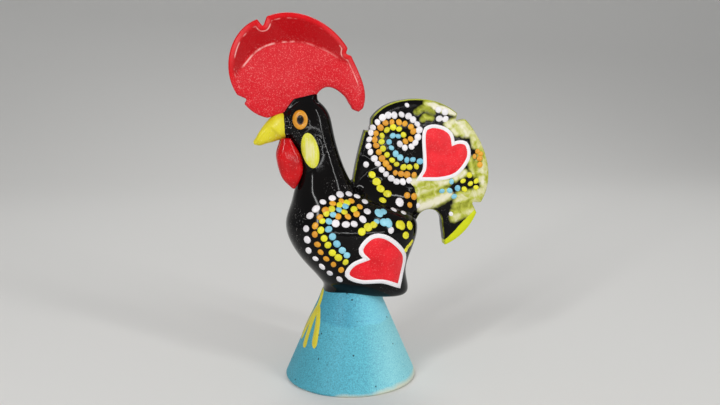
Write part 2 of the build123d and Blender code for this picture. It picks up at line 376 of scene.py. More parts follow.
@dataclass(frozen=True)
class Finish:
    """A fired or painted surface. Each kind of finish draws its own colour, and shares this gloss."""

    name: str
    roughness: float = 0.2
    roughness_spread: float = 0.08
    smear_size: float = 9.0
    peel_size: float = 2.4
    peel_depth: float = 0.05
    specular: float = 0.5

    def draw(self, tree: bpy.types.NodeTree, place: Socket) -> Socket:
        """Draws the colour over the surface.

        Args:
            tree: The material's node tree.
            place: Where on the object a point is, in metres.

        Returns:
            The colour's socket.
        """
        raise NotImplementedError

    def material(self) -> bpy.types.Material:
        """Makes the material, or returns it where it has been made.

        Returns:
            The material.
        """
        if self.name in bpy.data.materials:
            return bpy.data.materials[self.name]
        material = bpy.data.materials.new(self.name)
        material.use_nodes = True
        tree = material.node_tree
        tree.nodes.clear()
        place = add_node(tree, "TexCoord", {}, {}).outputs["Object"]
        colour = self.draw(tree, place)
        broad = {"Scale": per_metre(self.smear_size), "Detail": 4.0}
        smear = add_node(tree, "TexNoise", broad, {"Vector": place}).outputs["Fac"]
        low = max(self.roughness - self.roughness_spread, LEAST_ROUGHNESS)
        high = self.roughness + self.roughness_spread
        span = {"From Min": 0.3, "From Max": 0.7, "To Min": low, "To Max": high}
        gloss = add_node(tree, "MapRange", span, {"Value": smear}).outputs["Result"]
        fine = {"Scale": per_metre(self.peel_size), "Detail": 2.0}
        peel = add_node(tree, "TexNoise", fine, {"Vector": place}).outputs["Fac"]
        relief = {"Strength": 0.5, "Distance": self.peel_depth * MM}
        bump = add_node(tree, "Bump", relief, {"Height": peel}).outputs["Normal"]
        skin = {"IOR": 1.5, "Specular IOR Level": self.specular}
        feeds = {"Base Color": colour, "Roughness": gloss, "Normal": bump}
        surface = add_node(tree, "BsdfPrincipled", skin, feeds).outputs["BSDF"]
        add_node(tree, "OutputMaterial", {}, {"Surface": surface})
        return material

    def coat_piece(self, piece: Piece) -> None:
        """Gives a piece this finish alone."""
        piece.data.materials.clear()
        piece.data.materials.append(self.material())


@dataclass(frozen=True)
class BlackGlaze(Finish):
    """Black gloss glaze: deep, a little brown where thin, with pale specks of dust caught in it."""

    thick: str = "#050506"
    thin: str = "#0D0A09"
    dust: str = "#B9B6B4"
    flow_size: float = 14.0
    speck_size: float = 0.5
    cloud_size: float = 17.0

    def draw(self, tree: bpy.types.NodeTree, place: Socket) -> Socket:
        """Draws glaze of uneven depth with clouds of specks.

        Args:
            tree: The material's node tree.
            place: Where on the object a point is.

        Returns:
            The colour's socket.
        """
        broad = {"Scale": per_metre(self.flow_size), "Detail": 3.0}
        depth = add_node(tree, "TexNoise", broad, {"Vector": place}).outputs["Fac"]
        stops = [(0.35, self.thick), (0.75, self.thin)]
        glaze = add_node(tree, "ValToRGB", {"stops": stops}, {"Fac": depth}).outputs["Color"]
        # The real specks are about 0.1 mm, drawn at 0.5 mm so that they show.
        fine = {"Scale": per_metre(self.speck_size), "Detail": 1.0}
        grains = add_node(tree, "TexNoise", fine, {"Vector": place}).outputs["Fac"]
        cut = {"From Min": 0.66, "From Max": 0.74}
        specks = add_node(tree, "MapRange", cut, {"Value": grains}).outputs["Result"]
        broad = {"Scale": per_metre(self.cloud_size), "Detail": 2.0}
        clouds = add_node(tree, "TexNoise", broad, {"Vector": place}).outputs["Fac"]
        cut = {"From Min": 0.55, "From Max": 0.75}
        where = add_node(tree, "MapRange", cut, {"Value": clouds}).outputs["Result"]
        share = add_node(tree, "Math", MULTIPLY, {0: specks, 1: where}).outputs["Value"]
        dust = {**COLOURS, MIX_PAINT: linear(self.dust)}
        return add_node(tree, "Mix", dust, {MIX_SHARE: share, MIX_GROUND: glaze}).outputs[MIX_COLOUR]


@dataclass(frozen=True)
class PaintedTailGlaze(BlackGlaze):
    """Black glaze with loose slip strokes: green-yellow and cream that ran into each other while wet."""

    slips: tuple[tuple[float, str], ...] = (
        (0.08, "#6A6E1E"), (0.28, "#979C32"), (0.48, "#BCC04C"), (0.66, "#D6D498"), (0.9, "#EAE5CB"),
    )
    edge: str = "#AEB534"
    feather: str = "#D2DA20"
    hair_size: float = 1.6
    hair_sway: float = 0.3
    swirl_size: float = 3.2
    swirl_sway: float = 0.55

    def draw(self, tree: bpy.types.NodeTree, place: Socket) -> Socket:
        """Draws the black ground, the strokes, and the yellow run along the rim.

        Args:
            tree: The material's node tree.
            place: Where on the object a point is.

        Returns:
            The colour's socket.
        """
        ground = super().draw(tree, place)
        wash = add_node(tree, "Attribute", {"attribute_name": "wash"}, {}).outputs["Fac"]
        tone = add_node(tree, "Attribute", {"attribute_name": "tone"}, {}).outputs["Fac"]
        fine = {"Scale": per_metre(self.hair_size), "Detail": 4.0}
        hairs = add_node(tree, "TexNoise", fine, {"Vector": place}).outputs["Fac"]
        both_ways = {"To Min": -self.hair_sway, "To Max": self.hair_sway}
        drift = add_node(tree, "MapRange", both_ways, {"Value": hairs}).outputs["Result"]
        ragged = add_node(tree, "Math", ADD, {0: wash, 1: drift}).outputs["Value"]
        cut = {"From Min": 0.12, "From Max": 0.8, "To Max": 0.97}
        brushed = add_node(tree, "MapRange", cut, {"Value": ragged}).outputs["Result"]
        twisted = {"Scale": per_metre(self.swirl_size), "Detail": 3.0, "Distortion": 0.8}
        swirl = add_node(tree, "TexNoise", twisted, {"Vector": place}).outputs["Fac"]
        both_ways = {"To Min": -self.swirl_sway, "To Max": self.swirl_sway}
        sway = add_node(tree, "MapRange", both_ways, {"Value": swirl}).outputs["Result"]
        wet = add_node(tree, "Math", ADD, {0: tone, 1: sway}).outputs["Value"]
        slip = add_node(tree, "ValToRGB", {"stops": self.slips}, {"Fac": wet}).outputs["Color"]
        layers = {MIX_SHARE: brushed, MIX_GROUND: ground, MIX_PAINT: slip}
        colour = add_node(tree, "Mix", COLOURS, layers).outputs[MIX_COLOUR]
        for measure, paint in (("rim", self.edge), ("feather", self.feather)):
            run = add_node(tree, "Attribute", {"attribute_name": measure}, {}).outputs["Fac"]
            worn = add_node(tree, "Math", ADD, {0: run, 1: drift}).outputs["Value"]
            cut = {"From Min": 0.3, "From Max": 0.6, "To Max": 0.95}
            share = add_node(tree, "MapRange", cut, {"Value": worn}).outputs["Result"]
            layers = {MIX_SHARE: share, MIX_GROUND: colour}
            yellow = {**COLOURS, MIX_PAINT: linear(paint)}
            colour = add_node(tree, "Mix", yellow, layers).outputs[MIX_COLOUR]
        return colour


@dataclass(frozen=True)
class Enamel(Finish):
    """Brushed-on enamel over a fired ground: an even colour with brush depth, and fine paler grains."""

    full: str = "#D8151D"
    deep: str = "#B80F16"
    grain: str = "#EE7A78"
    brush_size: float = 7.0
    grain_cut: float = 0.62
    grain_fade: float = 0.1
    grain_cover: float = 0.6
    grain_size: float = 0.6

    def draw(self, tree: bpy.types.NodeTree, place: Socket) -> Socket:
        """Draws paint of uneven depth with fine grains.

        Args:
            tree: The material's node tree.
            place: Where on the object a point is.

        Returns:
            The colour's socket.
        """
        broad = {"Scale": per_metre(self.brush_size), "Detail": 4.0}
        depth = add_node(tree, "TexNoise", broad, {"Vector": place}).outputs["Fac"]
        stops = [(0.3, self.deep), (0.62, self.full)]
        paint = add_node(tree, "ValToRGB", {"stops": stops}, {"Fac": depth}).outputs["Color"]
        # The real grains are about 0.1 mm, drawn larger so that they show.
        fine = {"Scale": per_metre(self.grain_size), "Detail": 2.0}
        grains = add_node(tree, "TexNoise", fine, {"Vector": place}).outputs["Fac"]
        full = self.grain_cut + self.grain_fade
        cut = {"From Min": self.grain_cut, "From Max": full, "To Max": self.grain_cover}
        specks = add_node(tree, "MapRange", cut, {"Value": grains}).outputs["Result"]
        layers = {MIX_SHARE: self.thin_out(tree, specks), MIX_GROUND: self.shade(tree, place, paint)}
        pale = {**COLOURS, MIX_PAINT: linear(self.grain)}
        return add_node(tree, "Mix", pale, layers).outputs[MIX_COLOUR]

    def thin_out(self, tree: bpy.types.NodeTree, specks: Socket) -> Socket:
        """Lets a kind of enamel thin the grains out by their place on the piece."""
        return specks

    def shade(self, tree: bpy.types.NodeTree, place: Socket, colour: Socket) -> Socket:
        """Lets a kind of enamel change the colour by its place on the piece."""
        return colour


@dataclass(frozen=True)
class CombEnamel(Enamel):
    """Red enamel of the comb, with painted light and shade: painted shade deepens the slope below the rim,
    painted light pales the inside of the crest, and pale lines on the ridges stand for wear and painted
    highlights.
    """

    # Painted shade: the slope below the rim is drawn a deeper red, as if it caught less light.
    slope: str = "#A4040C"
    # Painted light: the inside of the crest is drawn paler, as if its crown caught more light.
    painted_light_inner: str = "#D0202B"
    # Pale pink of the ridge lines: partly wear, partly painted highlights along the ridges.
    worn: str = "#F2B4AE"
    patch_size: float = 5.0
    patch_sway: float = 1.6
    rim_ridge: float = 2.3
    rim_line: float = 0.32
    rim_breaks: float = 0.44
    crest_line: float = 0.48
    crest_breaks: float = 0.4
    break_fade: float = 0.14
    line_core: float = 0.3

    def thin_out(self, tree: bpy.types.NodeTree, specks: Socket) -> Socket:
        """Leaves few grains on the slope and most inside the crest.

        Args:
            tree: The material's node tree.
            specks: How much a grain shows.

        Returns:
            How much it shows at its place.
        """
        inside = add_node(tree, "Attribute", {"attribute_name": "inside"}, {}).outputs["Fac"]
        span = {"From Min": -2.5, "From Max": 1.5, "To Min": 0.15}
        share = add_node(tree, "MapRange", span, {"Value": inside}).outputs["Result"]
        return add_node(tree, "Math", MULTIPLY, {0: specks, 1: share}).outputs["Value"]

    def shade(self, tree: bpy.types.NodeTree, place: Socket, colour: Socket) -> Socket:
        """Paints shade onto the slope outside the crest and light inside it, and draws pale lines of wear and
        painted highlight along the crest and the ridge by the rim.

        Args:
            tree: The material's node tree.
            place: Where on the object a point is.
            colour: The enamel's colour.

        Returns:
            The colour's socket.
        """
        inside = add_node(tree, "Attribute", {"attribute_name": "inside"}, {}).outputs["Fac"]
        inland = add_node(tree, "Attribute", {"attribute_name": "inland"}, {}).outputs["Fac"]
        broad = {"Scale": per_metre(self.patch_size), "Detail": 4.0}
        patches = add_node(tree, "TexNoise", broad, {"Vector": place}).outputs["Fac"]
        both_ways = {"To Min": -self.patch_sway, "To Max": self.patch_sway}
        sway = add_node(tree, "MapRange", both_ways, {"Value": patches}).outputs["Result"]
        reach = add_node(tree, "Math", ADD, {0: inside, 1: sway}).outputs["Value"]
        span = {"From Min": 1.2, "From Max": 2.6, "To Max": 0.9}
        off_rim = add_node(tree, "MapRange", span, {"Value": inland}).outputs["Result"]
        span = {"From Min": -1.0, "From Max": 0.9, "To Min": 1.0, "To Max": 0.0}
        outside = add_node(tree, "MapRange", span, {"Value": reach}).outputs["Result"]
        share = add_node(tree, "Math", MULTIPLY, {0: off_rim, 1: outside}).outputs["Value"]
        # Painted shade over the slope outside the crest.
        deep = {**COLOURS, MIX_PAINT: linear(self.slope)}
        colour = add_node(tree, "Mix", deep, {MIX_SHARE: share, MIX_GROUND: colour}).outputs[MIX_COLOUR]
        # Painted light inside the crest.
        span = {"From Min": -1.0, "From Max": 1.4, "To Max": 0.7}
        within = add_node(tree, "MapRange", span, {"Value": reach}).outputs["Result"]
        pale = {**COLOURS, MIX_PAINT: linear(self.painted_light_inner)}
        colour = add_node(tree, "Mix", pale, {MIX_SHARE: within, MIX_GROUND: colour}).outputs[MIX_COLOUR]
        # Pale lines along the rim ridge and the crest: partly wear, partly painted highlights on the ridges.
        ridges = (
            (inland, self.rim_ridge, self.rim_line, self.rim_breaks, "rim_wear"),
            (inside, 0.0, self.crest_line, self.crest_breaks, "crest_wear"),
        )
        for measure, ridge, line, breaks, wear_and_highlight in ridges:
            away = add_node(tree, "Math", {**SUBTRACT, 1: ridge}, {0: measure}).outputs["Value"]
            near = add_node(tree, "Math", ABSOLUTE, {0: away}).outputs["Value"]
            span = {"From Min": line * self.line_core, "From Max": line, "To Min": 0.75, "To Max": 0.0}
            share = add_node(tree, "MapRange", span, {"Value": near}).outputs["Result"]
            span = {"From Min": breaks, "From Max": breaks + self.break_fade}
            broken = add_node(tree, "MapRange", span, {"Value": patches}).outputs["Result"]
            where = add_node(tree, "Attribute", {"attribute_name": wear_and_highlight}, {}).outputs["Fac"]
            share = add_node(tree, "Math", MULTIPLY, {0: share, 1: where}).outputs["Value"]
            share = add_node(tree, "Math", MULTIPLY, {0: share, 1: broken}).outputs["Value"]
            layers = {MIX_SHARE: share, MIX_GROUND: colour}
            bare = {**COLOURS, MIX_PAINT: linear(self.worn)}
            colour = add_node(tree, "Mix", bare, layers).outputs[MIX_COLOUR]
        return colour


@dataclass(frozen=True)
class EarEnamel(Enamel):
    """Yellow enamel brushed along the ear lobe: thin and pale down the middle, with streaks."""

    pale: str = "#E0D99E"
    turn: float = 11.0
    streak_size: float = 6.0
    streak_stretch: Spot = (9.0, 9.0, 0.6)
    streak_sway: float = 1.1

    def shade(self, tree: bpy.types.NodeTree, place: Socket, colour: Socket) -> Socket:
        """Thins the paint down the middle of the lobe.

        Args:
            tree: The material's node tree.
            place: Where on the object a point is.
            colour: The enamel's colour.

        Returns:
            The colour's socket.
        """
        inward = add_node(tree, "Attribute", {"attribute_name": "inward"}, {}).outputs["Fac"]
        stretch = {"Rotation": (0.0, math.radians(self.turn), 0.0), "Scale": self.streak_stretch}
        drawn = add_node(tree, "Mapping", stretch, {"Vector": place}).outputs["Vector"]
        fine = {"Scale": per_metre(self.streak_size), "Detail": 3.0}
        hairs = add_node(tree, "TexNoise", fine, {"Vector": drawn}).outputs["Fac"]
        both_ways = {"To Min": -self.streak_sway, "To Max": self.streak_sway}
        sway = add_node(tree, "MapRange", both_ways, {"Value": hairs}).outputs["Result"]
        share = add_node(tree, "Math", ADD, {0: inward, 1: sway}).outputs["Value"]
        span = {"From Min": 0.15, "From Max": 0.7, "To Max": 0.85}
        thin = add_node(tree, "MapRange", span, {"Value": share}).outputs["Result"]
        pale = {**COLOURS, MIX_PAINT: linear(self.pale)}
        return add_node(tree, "Mix", pale, {MIX_SHARE: thin, MIX_GROUND: colour}).outputs[MIX_COLOUR]


@dataclass(frozen=True)
class DotPaint(Finish):
    """Thick paint set down drop by drop: each drop dries to a slightly different tone."""

    paint: Paint = Paint.WHITE
    depth_size: float = 1.4

    def draw(self, tree: bpy.types.NodeTree, place: Socket) -> Socket:
        """Draws each dot in its own tone.

        Args:
            tree: The material's node tree.
            place: Where on the object a point is.

        Returns:
            The colour's socket.
        """
        full, thin = self.paint.value
        tone = add_node(tree, "Attribute", {"attribute_name": "tone"}, {}).outputs["Fac"]
        fine = {"Scale": per_metre(self.depth_size), "Detail": 2.0}
        depth = add_node(tree, "TexNoise", fine, {"Vector": place}).outputs["Fac"]
        share = add_node(tree, "Math", MULTIPLY, {0: tone, 1: depth}).outputs["Value"]
        stops = [(0.05, full), (0.55, thin)]
        return add_node(tree, "ValToRGB", {"stops": stops}, {"Fac": share}).outputs["Color"]


@dataclass(frozen=True)
class TurquoiseGlaze(Finish):
    """Satin turquoise glaze: grainy and pinholed, with painted light that pales it towards the back, and a
    tide line from a second dip.
    """

    # Colours of the lower and the upper dip by place along the bird: paler towards the back, which is painted
    # light.
    lower: tuple[tuple[float, str], ...] = (
        (-20.0, "#4C9EB1"), (-6.0, "#54AABE"), (3.0, "#60B6C8"), (14.0, "#90D8E2"),
    )
    upper: tuple[tuple[float, str], ...] = (
        (-20.0, "#4496AD"), (-3.0, "#489CB4"), (5.0, "#70C6DA"), (13.0, "#8EDCEC"),
    )
    reach: float = 28.0
    tide: float = 26.0
    tide_fade: float = 0.4
    wave_size: float = 12.0
    wave_sway: float = 2.5
    grain_size: float = 0.5
    grains: tuple[tuple[float, str], ...] = ((0.3, "#8E8E8E"), (0.5, "#BCBCBC"), (0.7, "#DADADA"))
    grain_share: float = 0.7
    bare: str = "#D8D5BE"
    bare_run: Span = (-12.0, 16.0)
    bare_levels: Span = (-0.35, 2.2)
    bare_fade: float = 0.9
    pinhole: str = "#17343C"
    pinhole_core: float = 0.7
    pinhole_sets: tuple[Span, ...] = ((4.6, 0.1), (2.6, 0.07))

    def draw(self, tree: bpy.types.NodeTree, place: Socket) -> Socket:
        """Draws the dipped zones with painted light that pales them towards the back, the worn foot, the
        grain and the pinholes.

        Args:
            tree: The material's node tree.
            place: Where on the object a point is.

        Returns:
            The colour's socket.
        """
        split = add_node(tree, "SeparateXYZ", {}, {"Vector": place})
        backward, upward = split.outputs["X"], split.outputs["Z"]
        broad = {"Scale": per_metre(self.wave_size), "Detail": 3.0}
        wave = add_node(tree, "TexNoise", broad, {"Vector": place}).outputs["Fac"]
        both_ways = {"To Min": -self.wave_sway * MM, "To Max": self.wave_sway * MM}
        sway = add_node(tree, "MapRange", both_ways, {"Value": wave}).outputs["Result"]
        level = add_node(tree, "Math", ADD, {0: upward, 1: sway}).outputs["Value"]
        span = {"From Min": -self.reach * MM, "From Max": self.reach * MM}
        along = add_node(tree, "MapRange", span, {"Value": backward}).outputs["Result"]
        # Each dip's colour grows paler towards the back: painted light.
        dips = []
        for zone in (self.lower, self.upper):
            stops = [((x + self.reach) / (2 * self.reach), colour) for x, colour in zone]
            dips.append(add_node(tree, "ValToRGB", {"stops": stops}, {"Fac": along}).outputs["Color"])
        span = {"From Min": (self.tide - self.tide_fade) * MM, "From Max": (self.tide + self.tide_fade) * MM}
        share = add_node(tree, "MapRange", span, {"Value": level}).outputs["Result"]
        layers = {MIX_SHARE: share, MIX_GROUND: dips[0], MIX_PAINT: dips[1]}
        colour = add_node(tree, "Mix", COLOURS, layers).outputs[MIX_COLOUR]
        # The real grain is about 0.2 mm, drawn at 0.5 mm so that it shows.
        fine = {"Scale": per_metre(self.grain_size), "Detail": 3.0}
        grit = add_node(tree, "TexNoise", fine, {"Vector": place}).outputs["Fac"]
        grain = add_node(tree, "ValToRGB", {"stops": self.grains}, {"Fac": grit}).outputs["Color"]
        mottle = {**COLOURS, "blend_type": "OVERLAY", MIX_SHARE: self.grain_share}
        colour = add_node(tree, "Mix", mottle, {MIX_GROUND: colour, MIX_PAINT: grain}).outputs[MIX_COLOUR]
        span = {
            "From Min": self.bare_run[0] * MM, "From Max": self.bare_run[1] * MM,
            "To Min": self.bare_levels[0] * MM, "To Max": self.bare_levels[1] * MM,
        }
        worn = add_node(tree, "MapRange", span, {"Value": backward}).outputs["Result"]
        above = add_node(tree, "Math", SUBTRACT, {0: level, 1: worn}).outputs["Value"]
        fade = self.bare_fade * MM
        span = {"From Min": -fade, "From Max": fade, "To Min": 0.85, "To Max": 0.0}
        share = add_node(tree, "MapRange", span, {"Value": above}).outputs["Result"]
        clay = {**COLOURS, MIX_PAINT: linear(self.bare)}
        colour = add_node(tree, "Mix", clay, {MIX_SHARE: share, MIX_GROUND: colour}).outputs[MIX_COLOUR]
        for spacing, size in self.pinhole_sets:
            spread = {"Scale": per_metre(spacing)}
            away = add_node(tree, "TexVoronoi", spread, {"Vector": place}).outputs["Distance"]
            span = {"From Min": size * self.pinhole_core, "From Max": size, "To Min": 0.9, "To Max": 0.0}
            share = add_node(tree, "MapRange", span, {"Value": away}).outputs["Result"]
            dark = {**COLOURS, MIX_PAINT: linear(self.pinhole)}
            colour = add_node(tree, "Mix", dark, {MIX_SHARE: share, MIX_GROUND: colour}).outputs[MIX_COLOUR]
        return colour


# Black glaze of the bird: mirrors the lights sharply, and is dark enough to set all the paint off.
BLACK = BlackGlaze("black_gloss_glaze", roughness=0.08, roughness_spread=0.03, specular=0.15)
# Black glaze of the tail: duller and busier, because slip strokes lie in it.
TAIL = PaintedTailGlaze("painted_black_glaze", roughness=0.14, roughness_spread=0.05, specular=0.14)
# Red of the wattles: deep and wet, with a long highlight.
RED = Enamel("red_gloss_enamel", roughness=0.15, full="#CC0A12", deep="#AC080F", specular=0.27)
# Red of the comb: half matt, with pale grains that scatter the light.
COMB = CombEnamel(
    "red_comb_enamel", roughness=0.27, specular=0.13, full="#DA161F", deep="#CC121A",
    grain="#EE908D", grain_cut=0.56, grain_cover=0.42, grain_size=0.43,
)
# Red of the hearts: thin, bright and half matt, so that they stand out from the glaze.
HEART_RED = Enamel(
    "red_heart_enamel", roughness=0.3, specular=0.22, full="#F0222E", deep="#D81722",
    grain="#F08A88", grain_cut=0.6, grain_cover=0.4, grain_size=0.5,
)
# Yellow of the beak: a soft gloss over uneven brush depth.
YELLOW = Enamel(
    "yellow_gloss_enamel", roughness=0.3, specular=0.35, full="#DED226", deep="#C8B91A", grain="#ECE49A",
)
# Yellow of the ear lobes: streaky, with a pale middle.
EAR = EarEnamel(
    "yellow_ear_enamel", roughness=0.35, specular=0.35, full="#DAD834", deep="#C6C22A", grain="#EDE7B4",
)
# Orange of the eyes: warm and softly glossy, which parts the iris from the black head.
ORANGE = Enamel(
    "orange_gloss_enamel", roughness=0.28, specular=0.35, full="#DC9626", deep="#C88218", grain="#F0C878",
)
# Brown of the iris: a dark ring that draws the eye together.
BROWN = Enamel("brown_iris_enamel", roughness=0.28, full="#4A250C", deep="#2A1408", grain="#8A5420")
# Black of the pupil: a smooth bead, glossier than the ring round it.
PUPIL = BlackGlaze("black_bead_glaze", roughness=0.08, roughness_spread=0.03, specular=0.25)
# Turquoise of the cone: satin, so that it shows its grain and no sharp reflections.
TURQUOISE = TurquoiseGlaze(
    "turquoise_satin_glaze", roughness=0.55, roughness_spread=0.08, peel_size=1.2, specular=0.3
)
# Yellow of the feet: thick half-matt paint, which stands out from the satin below it.
FOOT_YELLOW = Enamel("yellow_foot_paint", roughness=0.4, full="#DCD434", deep="#D0BE2C", grain="#EEE08A")
# Dotting paints: half matt, and a little lighter or darker from drop to drop.
DOTS = {paint: DotPaint(f"{paint.name.lower()}_dot_paint", roughness=0.35, paint=paint) for paint in Paint}


def settle(piece: Piece, finish: Finish, replaced: Sequence[str] = ()) -> Piece:
    """Dresses a finished piece and fixes it to the body.

    Args:
        piece: The finished mesh, at the origin.
        finish: Its finish.
        replaced: The CAD nodes that the piece stands for.

    Returns:
        The piece.
    """
    finish.coat_piece(piece)
    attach(piece, "root")
    if replaced:
        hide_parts(*replaced)
    LOG.info("%s: %d faces", piece.name, len(piece.data.polygons))
    return piece


# Clay


@dataclass
class ConeBase:
    """The thrown cone: hollow below, with a spigot that the bird sits on."""

    segments: int = 128
    wall: float = 4.0
    roof: float = 4.0
    shoulder: float = 12.8
    foot_round: float = 1.0
    corner_rings: int = 5
    vent: float = 1.5
    spigot: float = 7.0
    collar: float = 3.8
    press: float = 0.3
    press_levels: Span = (19.0, 37.0)
    press_front: Span = (2.0, 12.0)
    throwing_rings: int = 16
    ring_depth: float = 0.07
    crease: float = 35.0

    def measure(self) -> None:
        """Takes the cone's main sizes from the frame."""
        low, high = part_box("base_cone")
        self.foot = (high.x - low.x) / 2 / MM
        self.top = high.z / MM
        self.shoulder_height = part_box("body_left")[0].z / MM

    def radius_at(self, height: float) -> float:
        """Returns the outside radius at a height in mm."""
        share = (height - self.foot_round) / (self.shoulder_height - self.foot_round)
        return self.foot + (self.shoulder - self.foot) * share

    def pressed(self, points: np.ndarray) -> np.ndarray:
        """Returns points in mm with the front of the cone's neck pressed in, below the breast."""
        moved = points.copy()
        share = smooth_step(points[:, 2], *self.press_levels) * smooth_step(-points[:, 0], *self.press_front)
        moved[:, 0] += self.press * share
        return moved

    def profile(self) -> list[Point]:
        """Lists the section, from the vent through the hollow and round the outside to the vent.

        Returns:
            Radius and height of each ring, in mm.
        """
        roof = self.shoulder_height - self.roof
        inside = [(self.vent, roof), (self.radius_at(roof) - self.wall, roof), (self.foot - self.wall, 0.0)]
        corner = [
            (self.foot - self.foot_round * (1 - math.sin(turn)), self.foot_round * (1 - math.cos(turn)))
            for turn in np.linspace(0.0, math.pi / 2, self.corner_rings)
        ]
        slope = self.shoulder_height - self.foot_round
        steps = self.throwing_rings * 2
        outside = []
        for step in range(1, steps):
            height = self.foot_round + slope * step / steps
            outside.append((self.radius_at(height) - self.ring_depth * (step % 2), height))
        neck = self.shoulder_height + self.collar
        shoulder = [(self.shoulder, self.shoulder_height), (self.radius_at(neck), neck), (self.spigot, neck)]
        spigot = [(self.spigot, self.top), (self.vent, self.top), (self.vent, roof)]
        return inside + corner + outside + shoulder + spigot

    def build(self) -> Piece:
        """Throws the cone ring by ring and dresses it.

        Returns:
            The cone.
        """
        self.measure()
        rings = self.profile()
        radius, height = rings[0]
        deselect()
        bpy.ops.mesh.primitive_circle_add(
            vertices=self.segments, radius=radius * MM, location=(0, 0, height * MM)
        )
        piece = bpy.context.active_object
        bpy.ops.object.transform_apply(location=True)
        piece.name = piece.data.name = "base_cone_thrown"
        with editing(piece):
            for next_radius, next_height in rings[1:]:
                rise = {"value": (0, 0, (next_height - height) * MM)}
                bpy.ops.mesh.extrude_region_move(TRANSFORM_OT_translate=rise)
                grow = next_radius / radius
                bpy.ops.transform.resize(value=(grow, grow, 1), center_override=(0, 0, next_height * MM))
                radius, height = next_radius, next_height
            bpy.ops.mesh.select_all(action="SELECT")
            bpy.ops.mesh.remove_doubles(threshold=CONE_MERGE * MM)
            bpy.ops.mesh.normals_make_consistent(inside=False)
        set_points(piece, self.pressed(points_of(piece)))
        shade_round(piece, self.crease)
        return settle(piece, TURQUOISE, ["base_cone"])


def raise_bridge(beak: Piece) -> None:
    """Raises the top of the beak, or of its root, towards the comb."""
    points = points_of(beak)
    share = smooth_step(points[:, 0], *BRIDGE_RUN) * smooth_step(points[:, 2], *BRIDGE_LEVELS)
    points[:, 2] += BRIDGE_RISE * share
    set_points(beak, points)


